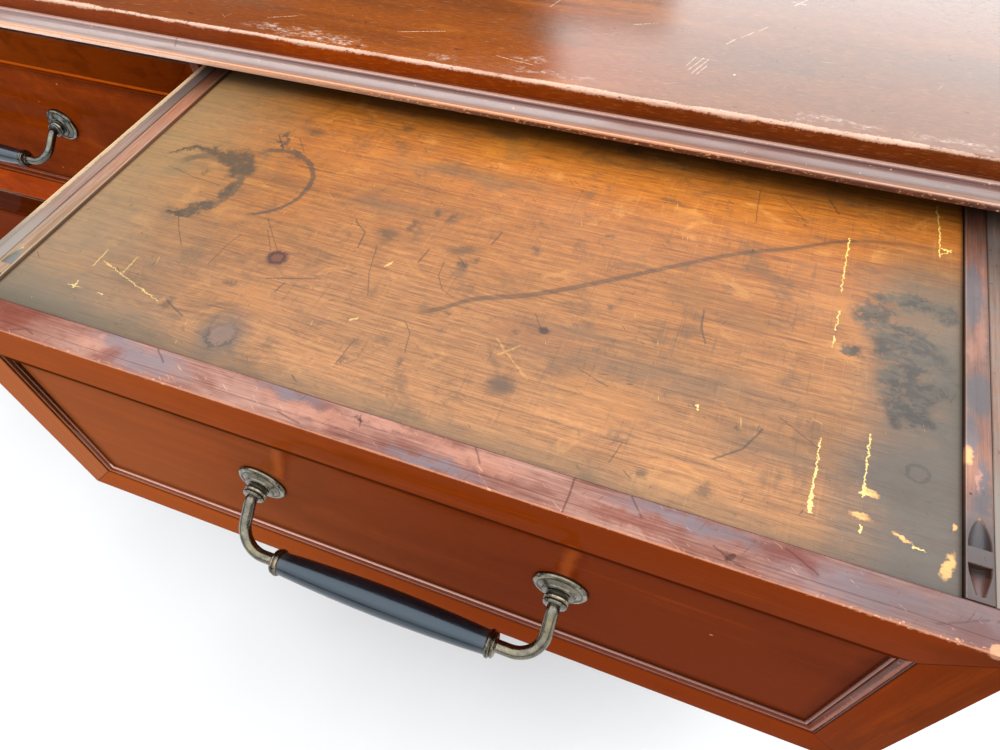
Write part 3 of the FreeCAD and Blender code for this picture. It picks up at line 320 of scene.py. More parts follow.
def top_material(edge=False):
    g = start("worn_mahogany_top_edge" if edge else "worn_mahogany_top", rough=0.42, spec=0.0, coat=0.06 if edge else 1.0, coat_rough=0.12 if edge else 0.095)
    p = local(g, (0, 0, 0))
    x, y, z = g.xyz(p)
    c, hgt = mahogany(g, p, 0, srgb(126, 62, 12), srgb(164, 88, 18), srgb(192, 112, 30), (31, 7, 0), 1.2, 0.022)
    n1 = g.noise(p, 0.09, 4, 0.6, 0.3)
    n2 = g.noise(p, 0.7, 3, 0.6)
    # darker clouds along the grain
    cl = g.noise(along(g, p, 0, 0.3, (4, 0, 0)), 0.011, 4, 0.62, 0.5)
    c = g.mix(g.mr(cl, 0.5, 0.64) * 0.5, c, srgb(92, 44, 12))
    c = g.mix(g.mr(cl, 0.46, 0.34) * 0.28, c, srgb(206, 130, 48))
    streak = g.noise(along(g, p, 0, 0.05, (2, 0, 0)), 0.09, 3, 0.6, 0.6)
    c = g.mix(g.mr(streak, 0.58, 0.68) * 0.35, c, srgb(74, 40, 18))
    # browner and duller towards the right half, with grey clouds in it
    dull = g.mr(x + (n1 - 0.5) * 60, 330, 500)
    c = g.mix(dull * 0.62, c, g.mix(n1, srgb(84, 56, 34), srgb(120, 84, 54)))
    gc = g.blobs(g.vm("ADD", g.vec(x, y, 0), g.warp(p, 0.02, 3, 0.6, 60.0)[0]), ((500, -190, 60, 16, 8), (650, -160, 60, 24), (560, -40, 90, 16), (40, -215, 50, 14), (330, -190, 26, 20), (240, -60, 60, 18)), 0.9)
    c = g.mix(gc * 0.45, c, srgb(86, 66, 54))
    # the face under the arris is darker and redder
    face = g.mr(z, 629.6, 628.2)
    fc = g.mix(g.mr(x, 100, 520), g.mix(n1, srgb(128, 44, 3), srgb(166, 68, 9)), g.mix(n1, srgb(88, 32, 4), srgb(120, 48, 8)))
    c = g.mix(face * 0.8, c, fc)
    # painted shade: a dark line at the foot of the face, by the cornice
    c = g.mix(g.mr(z, 615.4, 614.8) * 0.8, c, srgb(70, 34, 24))
    # fine short flecks along and across the grain, and a browner front margin
    fl = g.noise(along(g, p, 0, 0.12, (60, 0, 0)), 0.9, 4, 0.75)
    c = g.mix(g.mr(fl, 0.5, 0.66) * 0.42, c, srgb(88, 46, 20))
    c = g.mix(g.mr(fl, 0.46, 0.32) * 0.22, c, srgb(206, 136, 76))
    hatch = g.noise(g.vec(x * 1.0, y * 0.12, 7), 0.8, 3, 0.7)
    c = g.mix(g.mr(hatch, 0.58, 0.7) * g.mr(cl, 0.4, 0.6, 0.1, 0.35), c, srgb(110, 62, 34))
    c = g.mix(g.mr(y + (n1 - 0.5) * 50, -205, -246) * g.mr(x, 140, 60) * 0.5, c, srgb(96, 46, 26))
    c = g.mix(1.0, c, g.mix(g.mr(y, -235, -170) * g.mr(x, 10, 110), (0.86, 0.82, 0.76, 1.0), (0.76, 0.75, 0.71, 1.0)), "MULTIPLY")
    # worn arris at the front and ends
    de = g.mn(y + 264.0, 725.0 - abs(x))
    d = g.mx(de, 631.0 - z)
    thick = g.noise(along(g, p, 0, 0.25, (9, 0, 0)), 0.05, 3, 0.6)
    wear = g.mr(d + (n1 - 0.5) * 4.0 + (n2 - 0.5) * 4.4 - (thick - 0.45) * 7.0, 2.6, 1.2) * g.mr(thick, 0.3, 0.5, 0.55, 1.0)
    c = g.mix(wear * 0.85, c, g.mix(n2, srgb(168, 116, 90), srgb(206, 174, 152)))
    chip = g.mr(g.noise(along(g, p, 0, 0.5, (3, 0, 0)), 0.5, 3, 0.7), 0.585, 0.63) * g.mr(thick, 0.46, 0.56) * g.mr(d, 5.5, 2.0)
    c = g.mix(chip * 0.9, c, srgb(202, 140, 98))
    gouge = g.mr(g.noise(along(g, p, 0, 0.5, (13, 5, 0)), 0.45, 3, 0.7), 0.62, 0.66) * g.mr(d, 5.0, 1.8)
    c = g.mix(gouge * 0.8, c, srgb(60, 26, 14))
    # whitish scuffs and fine pale scratches on the top
    up = g.mr(z, 629.5, 630.8)
    q = g.vec(x, y, 0)
    off, oa, ob = g.warp(p, 0.07, 4, 0.65, 30.0)
    qd = g.vm("ADD", q, off)
    bloom_and_sheen = g.blobs(qd, ((133, -251, 36, 5), (168, -254, 24, 4), (100, -250, 20, 4)), 0.7)
    bl2 = g.blobs(qd, ((258, -252, 10, 3), (330, -236, 12, 4), (350, -250, 30, 3), (560, -252, 26, 3), (640, -253, 22, 3)), 0.8)
    rag = g.mr(g.noise(along(g, p, 0, 0.4), 0.5, 4, 0.7), 0.42, 0.7)
    c = g.mix(g.mx(bloom_and_sheen * 0.62, bl2 * 0.5) * rag * up, c, srgb(204, 190, 176))
    long_ = g.strokes(q, (((448.4, -215.7), (456.4, -195.2)), ((452, -219), (460, -197)), ((456, -219), (460.5, -206)), ((445.8, -210.5), (450.3, -195.5)),
                          ((469, -169.5), (474, -161)), ((478, -157), (486, -146)), ((490, -142), (495.5, -134)), ((301, -238), (318, -241), (332, -242.5)), ((511, -93), (520, -79.5)), ((508, -86.6), (519.7, -88.8)),
                          ((316, -150), (322, -132)), ((392, -160), (410, -152)), ((86, -236), (110, -226)), ((208, -226), (246, -214)),
                          ((-240, -120), (-130, -150)), ((-420, -40), (-260, 20)), ((-60, 60), (90, 120)), ((-560, 90), (-540, 160))), 0.12, 0.5)
    c = g.mix(long_ * g.mr(n2, 0.35, 0.6) * up * 0.55, c, srgb(222, 196, 166))
    sc = None
    for k, (ang, th) in enumerate(((28, 0.735), (-41, 0.745), (66, 0.74), (3, 0.73))):
        u, w = g.turned(x, y, ang)
        f = g.mr(g.noise(g.vec(u * 0.05 + k * 9.1, w * 1.3, k * 3.7), 0.55, 2, 0.5), th, th + 0.03)
        sc = f if sc is None else g.mx(sc, f)
    c = g.mix(sc * up * 0.4, c, srgb(190, 146, 104))
    pin = g.mr(g.voro(g.vec(x, y, 0), 0.045, rand=1.0), 0.045, 0.03) * g.mr(n1, 0.5, 0.6)
    c = g.mix(pin * up * 0.8, c, srgb(226, 190, 150))
    dark = g.mr(g.noise(along(g, p, 0, 0.8, (50, 3, 0)), 0.12, 2, 0.6), 0.71, 0.75) * up
    c = g.mix(dark * 0.6, c, srgb(34, 16, 8))
    r = g.mr(n1, 0.3, 0.75, 0.34, 0.5) + wear * 0.2 + chip * 0.2
    return finish_mat(g, c, r, hgt * 0.3 + fl * 0.5 - sc * 0.3 - chip * 1.5 - gouge * 2.0, 0.14, 0.0004, coat=True)


def cornice_material():
    g = start("worn_mahogany_cornice", rough=0.36, spec=0.35, coat=0.8, coat_rough=0.16)
    p = local(g, (0, 0, 599.0))
    x, y, z = g.xyz(p)
    c, hgt = mahogany(g, p, 0, srgb(112, 66, 50), srgb(158, 110, 90), srgb(184, 140, 120), (5, 3, 0), 0.8)
    n1 = g.noise(along(g, p, 0, 0.5), 0.13, 4, 0.65, 0.2)
    n2 = g.noise(p, 0.8, 3, 0.65)
    n3 = g.noise(along(g, p, 0, 0.15, (20, 0, 0)), 0.035, 3, 0.6, 0.3)
    # painted sheen: the round that looks up is painted pale mauve for the sky it reflects, darker and greyer towards
    # the right end
    bloom_and_sheen = g.mr(z, 4.8, 6.4) * g.mr(n3, 0.25, 0.5)
    c = g.mix(bloom_and_sheen * 0.75, c, g.mix(n1, srgb(126, 112, 110), srgb(164, 144, 134)))
    c = g.mix(g.mr(x, 330, 640) * 0.4, c, srgb(92, 76, 70))
    # painted sheen: a pale pink band along the lower part of the round
    warm = g.mr(z + (n1 - 0.5) * 2.4, 9.0, 6.2) * g.mr(z, 4.0, 5.2)
    c = g.mix(warm * 0.7, c, g.mix(n1, srgb(176, 124, 98), srgb(214, 168, 142)))
    # painted shade: the hollow above it is painted dark red, more towards the right end
    hollow = g.mr(z, 12.4, 13.2) * g.mr(z, 16.1, 15.6)
    c = g.mix(hollow * g.mr(x, -60, 240, 0.35, 0.8), c, srgb(84, 36, 26))
    lip = g.mr(abs(z - 16.0) + (n2 - 0.5) * 0.8, 0.5, 0.2)
    c = g.mix(lip * 0.6, c, srgb(200, 156, 136))
    # chipped nose
    nose = g.mr(abs(z - 4.6) + (n1 - 0.5) * 4.0 + (n2 - 0.5) * 4.0 + g.mr(x, 400, 640, 0.0, 2.6), 1.9, 0.8)
    c = g.mix(nose * 0.9, c, g.mix(n2, srgb(184, 110, 70), srgb(222, 168, 128)))
    low = g.mr(z + (n2 - 0.5) * 1.6, 4.2, 3.0)
    lo_c = g.mix(g.mr(x, -60, 360), srgb(228, 182, 154), g.mix(g.mr(n1, 0.5, 0.62), srgb(60, 22, 10), srgb(104, 50, 28)))
    c = g.mix(low * 0.85, c, lo_c)
    frag = g.mr(g.noise(along(g, p, 0, 0.55, (31, 0, 0)), 0.55, 3, 0.7) - g.mr(x, 150, 560, 0.0, 0.05), 0.56, 0.6) * g.mr(z, 6.4, 4.6)
    c = g.mix(frag * 0.85, c, srgb(206, 148, 96))
    chips = g.mr(g.noise(along(g, p, 0, 0.6, (9, 0, 0)), 0.26, 3, 0.7), 0.69, 0.72)
    c = g.mix(chips * 0.7, c, srgb(206, 160, 130))
    crack = g.strokes(g.vec(x, z, 0), (((4.0, 17.0), (2.6, 14.0), (3.0, 11.5)),), 0.2, 0.45)
    c = g.mix(crack * 0.8, c, srgb(50, 24, 22))
    r = g.mr(n1, 0.3, 0.7, 0.3, 0.48) + nose * 0.2
    return finish_mat(g, c, r, hgt * 0.5 - chips * 1.2 - crack * 2.0 + nose * (n2 - 0.5) * 2.5 - frag, 0.22, 0.0006, coat=True)


def case_material(name, axis=2, shift=(0, 0, 0)):
    g = start(name, rough=0.4, spec=0.05, coat=0.1, coat_rough=0.14)
    p = local(g, (0, 0, 0))
    x, y, z = g.xyz(p)
    c, hgt = mahogany(g, p, axis, srgb(82, 28, 6), srgb(120, 48, 11), srgb(148, 70, 21), shift, 1.1, 0.014)
    n1 = g.noise(p, 0.05, 4, 0.6)
    n2 = g.noise(p, 0.9, 3, 0.6)
    cl = g.noise(along(g, p, axis, 0.35, shift), 0.008, 3, 0.6, 0.5)
    c = g.mix(g.mr(cl, 0.5, 0.7) * 0.3, c, srgb(66, 26, 9))
    scuff = g.mr(g.noise(along(g, p, axis, 0.3, (7, 1, 3)), 0.05, 4, 0.7), 0.64, 0.8) * 0.2
    c = g.mix(scuff, c, srgb(150, 92, 56))
    for k, (ang, th) in enumerate(((24, 0.75), (-52, 0.757))):
        u, w = g.turned(x + y, z, ang)
        c = g.mix(g.mr(g.noise(g.vec(u * 0.04 + k * 7.0, w * 1.1, k * 3.1), 0.5, 2, 0.5), th, th + 0.03) * 0.4, c, srgb(168, 116, 80))
    # darker towards the floor, pale scuffs low down and pale wear on the front arris
    foot = g.mr(z + (n1 - 0.5) * 60, 34, 2) * 0.45
    c = g.mix(foot, c, srgb(56, 28, 16))
    kick = g.mr(g.noise(along(g, p, axis, 0.5, (2, 5, 1)), 0.11, 3, 0.7), 0.66, 0.72) * g.mr(z, 150, 20)
    c = g.mix(kick * 0.6, c, srgb(164, 116, 82))
    ar = g.mr(abs(y + 256.0) + (n2 - 0.5) * 2.2, 1.3, 0.5) * g.mr(n1, 0.35, 0.6)
    c = g.mix(ar * 0.14, c, srgb(150, 96, 64))
    r = g.mr(n1, 0.3, 0.7, 0.34, 0.5)
    return finish_mat(g, c, r, hgt * 0.5 + n2 * 0.12, 0.16, 0.0005)


def deal_material(name, axis, base=(150, 112, 76), shift=(0, 0, 0), grey=0.35):
    """Bare softwood gone brown and grey, with growth lines, knots and dust."""
    g = start(name, rough=0.7, spec=0.3)
    p = local(g, (0, 0, 0))
    wob = g.noise(along(g, p, axis, 0.1, shift), 0.02, 2, 0.5)
    bands = g.noise(along(g, p, axis, 0.012, shift), 0.32, 3, 0.55, 0.5)
    fine = g.noise(along(g, p, axis, 0.02, shift), 1.6, 3, 0.7)
    b = srgb(*base)
    d = srgb(*[v * 0.68 for v in base])
    l = srgb(*[min(255, v * 1.18) for v in base])
    c = g.ramp(bands * 0.7 + fine * 0.3, [(0.3, d), (0.5, b), (0.7, l)])
    c = g.mix(g.mr(wob, 0.4, 0.7) * grey, c, srgb(112, 100, 88))
    dirt = g.noise(p, 0.035, 4, 0.65, 0.4)
    c = g.mix(g.mr(dirt, 0.55, 0.75) * 0.5, c, srgb(70, 54, 40))
    kn = g.voro(along(g, p, axis, 0.45, shift), 0.0075)
    c = g.mix(g.mr(kn, 0.085, 0.06) * 0.8, c, srgb(74, 44, 26))
    c = g.mix(g.mr(abs(kn - 0.088), 0.012, 0.004) * 0.7, c, srgb(48, 30, 20))
    speck = g.mr(g.noise(p, 0.5, 2, 0.6), 0.72, 0.78)
    c = g.mix(speck * 0.5, c, srgb(50, 38, 30))
    return finish_mat(g, c, g.mr(fine, 0.3, 0.7, 0.62, 0.82), bands * 0.4 + fine * 0.6, 0.35, 0.0006)


def front_material(tag, part):
    """Polished mahogany of a drawer front.  part: rail (grain along X), stile (grain along Z), panel or moulding."""
    main = tag == "upper_right"
    g = start("%s_front_%s" % (tag, part), rough=0.4, spec=0.0, coat={"moulding": 0.35, "quirk": 0.0}.get(part, 0.03),
              coat_rough=0.16 if part == "moulding" else 0.09)
    p = local(g, DR[tag])
    x, y, z = g.xyz(p)
    seed = {"upper_right": 0, "upper_left": 41, "lower_right": 83, "lower_left": 127}[tag]
    axis = 2 if part == "stile" else 0
    sh = (seed + 3, seed * 0.37, seed * 0.71 + (11 if part == "panel" else 0))
    if part == "panel":
        cols = (srgb(92, 34, 9), srgb(122, 50, 13), srgb(146, 68, 22))
    elif part == "moulding":
        cols = (srgb(84, 34, 16), srgb(120, 54, 27), srgb(146, 76, 42))
    # painted shade: a darker copy of the moulding, with no coat, for the top strip that lies in the shade of the top
    # rail
    elif part == "quirk":
        cols = (srgb(70, 24, 6), srgb(96, 38, 9), srgb(120, 54, 16))
    else:
        cols = (srgb(104, 38, 4), srgb(138, 56, 7), srgb(164, 78, 14))
    # painted light: the upper left front is a lighter copy of the others, the panel less than the other parts, to lift
    # the shade it stands in under the top
    if tag == "upper_left":
        k = (1.32, 1.26, 0.5) if part == "panel" else (1.7, 1.45, 0.5)
        cols = tuple(tuple(v * w for v, w in zip(c, k)) for c in cols)
    c, hgt = mahogany(g, p, axis, *cols, sh, 1.1 if part != "panel" else 0.9, 0.015)
    n1 = g.noise(p, 0.06, 4, 0.6, 0.2)
    n2 = g.noise(p, 0.8, 3, 0.65)
    cl = g.noise(along(g, p, axis, 0.4, (sh[0] + 9, sh[1], sh[2])), 0.010, 3, 0.6, 0.6)
    c = g.mix(g.mr(cl, 0.52, 0.66) * (0.5 if tag == "upper_left" else 0.34), c, tuple(v * 0.5 for v in cols[0]))
    if main:
        # painted sheen: lighter towards the left end
        left_sheen = g.mr(x + (n1 - 0.5) * 60, 120, -300)
        c = g.mix(left_sheen * {"panel": 0.36, "stile": 0.5}.get(part, 0.34), c, {"panel": srgb(164, 92, 48), "stile": srgb(168, 100, 60)}.get(part, srgb(170, 88, 36)))
    if tag == "upper_left":
        # painted light: its top rail, shaded by the top, is painted bright orange
        c = g.mix(g.mr(z, -46, -36) * 0.6, c, srgb(204, 92, 20))
        # mottled figure
        mot = g.noise(along(g, p, axis, 0.6, (seed, 5, 5)), 0.05, 4, 0.65, 0.8)
        c = g.mix(g.mr(mot, 0.5, 0.7) * 0.34, c, tuple(v * 0.4 for v in cols[0]))
        c = g.mix(g.mr(mot, 0.48, 0.28) * 0.14, c, cols[2])
    hgt = hgt * 0.4
    rough = g.mr(n1, 0.3, 0.75, 0.36, 0.5)
    if main and part in ("rail", "panel"):
        # painted reflection: pale and dark streaks above each rose
        off, oa, ob = g.warp(p, 0.08, 2, 0.5, 5.0)
        qv = g.vm("ADD", g.vec(x, z, 0), off)
        pale_streak = g.strokes(qv, (((-74, -40), (-90, -92)), ((126, -40), (121, -92))), 1.6, 4.5)
        c = g.mix(pale_streak * 0.22, c, srgb(176, 92, 40))
        dk = g.strokes(qv, (((-68, -40), (-84, -92)), ((132, -40), (127, -92))), 1.0, 4.0)
        c = g.mix(dk * 0.35, c, srgb(80, 24, 4))
    if part in ("rail", "stile"):
        # top edge: bare, greyed wood with patches, a scribed line and a cross line
        top = g.mr(z, -0.9, -0.2)
        grain = g.noise(along(g, p, 0, 0.03, sh), 0.9, 4, 0.7)
        tc = g.noise(along(g, p, 0, 0.3, sh), 0.035, 4, 0.65, 0.4)
        t = g.ramp(tc * 0.6 + grain * 0.4, [(0.34, srgb(82, 48, 40)), (0.46, srgb(114, 76, 66)), (0.56, srgb(138, 102, 90)), (0.7, srgb(162, 126, 110))])
        q = g.vec(x, y, 0)
        off, oa, ob = g.warp(p, 0.09, 4, 0.65, 22.0)
        qd = g.vm("ADD", q, off)
        if main:
            m1 = g.blobs(qd, ((-163, 12, 30, 8), (-188, 18, 16, 6), (272, 12, 40, 9), (318, 14, 20, 9), (-60, 20, 20, 4), (40, 4, 26, 4), (180, 18, 34, 5)), 0.8)
            t = g.mix(m1 * 0.72, t, srgb(104, 97, 102))
            m2 = g.blobs(qd, ((-272, 12, 15, 9), (-300, 18, 12, 6), (-190, 8, 10, 5), (235, 16, 14, 5), (316, 8, 10, 7), (150, 8, 20, 4)), 0.7)
            t = g.mix(m2 * 0.5, t, srgb(96, 36, 24))
            m3 = g.blobs(qd, ((-205, 12, 12, 5), (-40, 12, 30, 4), (60, 16, 30, 5), (5, 20, 20, 3)), 0.8)
            t = g.mix(m3 * 0.4, t, srgb(182, 130, 108))
            ln = g.strokes(q, (((118, 0), (118.6, 12), (118.2, 23.4)),), 0.3, 0.5)
            t = g.mix(ln * 0.6, t, srgb(64, 40, 38))
            ln = g.strokes(g.vm("ADD", q, g.vm("SCALE", off, scale=0.1)), (((-266, 3), (-256, 7), (-248, 5)), ((196, 9), (205, 4), (212, 3)), ((-12, 20), (-9, 13)), ((60, 23), (66, 14)),
                            ((-160, 22), (-150, 14)), ((230, 20), (246, 12)), ((300, 6), (322, 16)), ((-60, 6), (-44, 3)), ((150, 22), (158, 12))), 0.25, 0.6)
            t = g.mix(ln * 0.5, t, srgb(62, 40, 36))
            t = g.mix(g.mr(x + oa, -196, -262) * 0.5, t, srgb(96, 48, 36))
            t = g.mix(g.mr(x + oa, 236, 300) * 0.5, t, srgb(92, 76, 74))
            sp = g.blobs(qd, ((205, 4, 4, 1.6), (-13, 16, 3, 2.0), (330, 20, 3, 2), (-320, 4, 4, 2)), 0.5)
            t = g.mix(sp * 0.7, t, srgb(52, 34, 30))
        else:
            t = g.mix(g.mr(g.noise(qd, 0.017, 3, 0.6, 0.5), 0.5, 0.66) * 0.5, t, srgb(104, 92, 94))
        scribe = g.mr(abs(y - 7.4 - (g.noise(along(g, p, 0, 1.0, sh), 0.02, 2) - 0.5) * 1.2), 0.5, 0.15)
        t = g.mix(scribe * g.mr(grain, 0.3, 0.55) * 0.5, t, srgb(70, 42, 38))
        u, w = g.turned(x, y, 62)
        scr = g.mr(g.noise(g.vec(u * 0.12 + seed, w * 1.1, 3), 0.6, 3, 0.6), 0.64, 0.7)
        t = g.mix(scr * 0.35, t, srgb(74, 46, 40))
        u, w = g.turned(x, y, -35)
        scr2 = g.mr(g.noise(g.vec(u * 0.12 + seed, w * 1.1, 8), 0.6, 3, 0.6), 0.66, 0.7)
        t = g.mix(scr2 * 0.35, t, srgb(196, 150, 128))
        c = g.mix(top, c, t)
        # pale front arris, worn in patches; more of it gone at the right end
        arris = g.mr(g.mx(abs(z), abs(y)) + (n1 - 0.5) * 2.2 + (n2 - 0.5) * 2.0, 1.2, 0.4)
        c = g.mix(arris * 0.8, c, g.mix(n2, srgb(150, 84, 54), srgb(182, 128, 100)))
        back = g.mr(g.mx(abs(z), abs(y - 23.3)) + (n2 - 0.5) * 1.2, 1.2, 0.4)
        c = g.mix(back * 0.7, c, srgb(58, 34, 26))
        chip = g.mr(g.noise(along(g, p, 0, 0.7, (sh[0] + 5, 2, 2)), 0.34, 3, 0.7), 0.64, 0.69) * g.mr(g.mx(abs(z), abs(y)), 3.4, 1.0)
        if main:
            chip = g.mx(chip, g.mr(g.noise(p, 0.4, 3, 0.7), 0.56, 0.64) * g.mr(g.mx(abs(z), abs(y)) - g.mr(x, 215, 335, 0, 1.8), 1.6, 0.4) * g.mr(x, 200, 290))
            chip = g.mx(chip, g.mr(g.vm("DISTANCE", p, (326, 1.5, -0.5), out=1) + (n2 - 0.5) * 4, 4.6, 3.4))
        c = g.mix(chip * 0.8, c, g.mix(n2, srgb(176, 112, 84), srgb(204, 160, 122)))
        # mitre: dark line where the two members meet, from corner to corner
        ax = 343.0 - abs(x)
        up_m = abs(ax + z) * 0.7071
        lo_m = abs(ax - (z + 247.0) * (37.0 / 40.0)) * 0.7071
        mitre = g.mr(g.mn(up_m, lo_m), 0.45, 0.1) * g.mr(ax, 37.4, 36.9) * (1.0 - top * 0.6)
        c = g.mix(mitre * 0.55, c, srgb(38, 12, 5))
        inner = g.mr(g.mx(abs(x) - 306.0, abs(z + 122.0) - 85.0), 0.9, 0.2) * g.mr(y, 2.0, 0.4)
        c = g.mix(inner * 0.35, c, srgb(50, 18, 8))
        if main:
            c = g.mix(g.mr(x, 296, 336) * (1.0 - top) * 0.45, c, srgb(70, 28, 7))
        low = g.mr(z, -245.6, -246.6)
        c = g.mix(low * 0.4, c, srgb(170, 104, 60))
        rough = rough + top * 0.1 + arris * 0.1
        hgt = hgt + top * (grain * 0.9 - scribe * 0.8 - scr * 0.4) - chip * 1.6 - mitre * 0.6
    if part == "panel":
        # darker round the panel's edge, by the moulding
        d = g.mx(abs(x) - 290.0, abs(z + 122.0) - 69.0)
        c = g.mix(g.mr(d + (n1 - 0.5) * 8, -5, 7) * 0.4, c, srgb(50, 18, 7))
        sc = g.mr(g.noise(g.vec(x * 0.06 + z * 0.02, z * 1.2 + x * 0.4, seed), 0.5, 2, 0.5), 0.75, 0.78)
        c = g.mix(sc * 0.25, c, srgb(170, 98, 60))
        pin = g.mr(g.voro(g.vec(x, z, seed), 0.02), 0.03, 0.015)
        c = g.mix(pin * 0.5, c, srgb(190, 120, 80))
    if part == "moulding":
        w = g.mn(306.0 - abs(x), 85.0 - abs(z + 122.0))
        # painted shade: dark lines in the two quirks of the moulding
        quirk = g.mx(g.mr(abs(w - 0.4), 0.5, 0.15), g.mr(abs(w - 6.45), 0.45, 0.12))
        c = g.mix(quirk * 0.75, c, srgb(24, 9, 6))
        # painted highlight: a pale line along the moulding next to the panel
        c = g.mix(g.mr(abs(w - 7.85), 1.2, 0.4) * 0.4, c, srgb(140, 100, 88))
        pale_streak = g.mr(abs(w - 2.6) + (n1 - 0.5) * 2.4, 1.6, 0.5)
        c = g.mix(pale_streak * 0.35, c, srgb(158, 96, 70))
        if main:
            # painted highlight: the lower strip is painted pale, most towards the left
            pale = g.mr(abs(w - 7.9), 1.5, 0.8) * g.mr(z, -190, -196) * g.mr(x + (n1 - 0.5) * 80, 330, -120, 0.15, 0.9)
            c = g.mix(pale, c, srgb(206, 156, 142))
        nick = g.mr(g.noise(along(g, p, 0, 0.8, sh), 0.35, 2, 0.6), 0.7, 0.74)
        c = g.mix(nick * 0.5, c, srgb(172, 110, 80))
        hgt = hgt - nick - quirk
    return finish_mat(g, c, rough, hgt, 0.16, 0.0005)


def lid_material(tag):
    """Varnished pale board: fibres along X, dark rubbed margins, stains, knots and scratches."""
    main = tag == "upper_right"
    g = start("%s_lid_board" % tag, rough=0.42, spec=0.3, coat=0.1, coat_rough=0.24)
    p = local(g, DR[tag])
    x, y, z = g.xyz(p)
    seed = {"upper_right": 0, "upper_left": 57, "lower_right": 91, "lower_left": 133}[tag]
    q0 = g.vec(x, y, 0)
    wv, wa, wb = g.warp(g.vm("ADD", q0, (seed, seed, 0)), 0.035, 3, 0.6, 34.0)
    fv, fa, fb = g.warp(g.vm("ADD", q0, (seed, 0, 5)), 0.3, 3, 0.65, 13.0)
    # growth lines bend round the knots
    yy = y
    for kx, ky, kr in ((-134.6, 122.5, 9.0), (-130.4, 48.3, 13.0), (67.5, 119.2, 6.0)):
        r2 = g.vm("LENGTH", g.vm("MULTIPLY", g.vm("SUBTRACT", q0, (kx, ky, 0)), (1 / (kr * 3.4), 1 / (kr * 1.5), 0)), out=1)
        yy = yy + (y - ky) * g.m("POWER", 2.718, -(r2 * r2)) * -0.55
    fib = g.noise(g.vec(x * 0.03 + seed, yy, 0), 1.9, 4, 0.75)
    wavy = g.noise(g.vec(x * 0.12, y * 0.5, seed), 0.022, 2, 0.5)
    late = g.noise(g.vec(x * 0.006 + seed, yy + wavy * 26.0, 3), 0.33, 2, 0.5)
    fib2 = g.noise(g.vec(x * 0.05 + seed, yy, 9), 0.55, 3, 0.6)
    cross = g.noise(g.vec(x * 0.9, y * 0.03 + seed, 4), 0.8, 3, 0.7)
    blot = g.noise(g.vec(x * 0.8, y, seed + 20), 0.034, 5, 0.72, 0.5)
    smudge = g.noise(g.vec(x * 0.6, y, seed + 40), 0.11, 4, 0.75, 0.8)
    cloud = g.noise(g.vec(x * 0.5, y, seed), 0.018, 4, 0.6, 0.3)
    tone = late * 0.24 + fib * 0.56 + fib2 * 0.20
    # colour from back to front: orange brown to tan
    warm = g.ramp(tone, [(0.37, srgb(108, 56, 18)), (0.48, srgb(158, 90, 32)), (0.575, srgb(184, 112, 46)), (0.68, srgb(206, 136, 62))])
    tan = g.ramp(tone, [(0.37, srgb(102, 68, 42)), (0.48, srgb(152, 102, 62)), (0.575, srgb(176, 122, 76)), (0.68, srgb(198, 144, 92))])
    c = g.mix(g.mr(y + wa * 1.8, 270, 60), warm, tan)
    c = g.mix(g.mr(cross, 0.56, 0.68) * g.mr(blot, 0.4, 0.62, 0.04, 0.42), c, srgb(88, 62, 42))
    c = g.mix(g.mr(cross, 0.42, 0.3) * g.mr(blot, 0.6, 0.4, 0.02, 0.2), c, srgb(214, 166, 112))
    c = g.mix(g.mr(cloud, 0.52, 0.70) * 0.42, c, srgb(104, 76, 54))
    c = g.mix(g.mr(blot, 0.53, 0.68) * 0.5, c, srgb(92, 70, 52))
    c = g.mix(g.mr(smudge, 0.58, 0.68) * 0.42, c, srgb(84, 64, 48))
    c = g.mix(g.mr(blot, 0.44, 0.3) * 0.3, c, srgb(220, 156, 92))
    c = g.mix(g.mr(cloud, 0.46, 0.3) * 0.25, c, srgb(214, 138, 62))
    # grey green rub: left end, front edge and the right front corner
    rag = wb * 1.35 + fa * 1.0
    c = g.mix(g.mr(x + rag * 0.8, -170, -305) * 0.6, c, srgb(146, 130, 110))
    c = g.mix(g.mr(y + rag * 0.3, 84, 26) * g.mr(x + rag, -40, -290) * 0.8, c, srgb(88, 88, 82))
    c = g.mix(g.mr(y + rag * 0.4, 48, 24) * 0.4, c, srgb(104, 92, 74))
    if main:
        L = lambda px, py: (px / 2.4 - 320.0, 340.0 - py / 2.4)
        q1 = g.vm("ADD", q0, g.vm("SCALE", fv, scale=0.38))      # small ragged edges
        q2 = g.vm("ADD", g.vm("ADD", q0, wv), fv)                # broken stain edges
        corner = g.mx(g.mr(x + rag * 1.2, 226, 296) * g.mr(y + rag * 0.6, 128, 86), g.mr(x + rag, 288, 306) * g.mr(y, 250, 140))
        c = g.mix(corner * 0.88, c, g.mix(g.mr(fib * 0.5 + smudge * 0.5, 0.36, 0.62), srgb(60, 58, 57), srgb(102, 96, 90)))
        c = g.mix(g.mr(x + rag * 0.6, 240, 286) * g.mr(y + rag * 0.5, 292, 226) * 0.78, c, srgb(90, 82, 76))
        c = g.mix(g.blobs(q2, ((-206, 100, 34, 40),), 0.9) * 0.26, c, srgb(104, 98, 90))
        c = g.mix(g.blobs(q2, ((150, 108, 70, 12, 4), (215, 78, 26, 8), (96, 126, 30, 7), (-40, 250, 60, 8), (-90, 196, 26, 9)), 0.9) * 0.5, c, srgb(88, 74, 62))
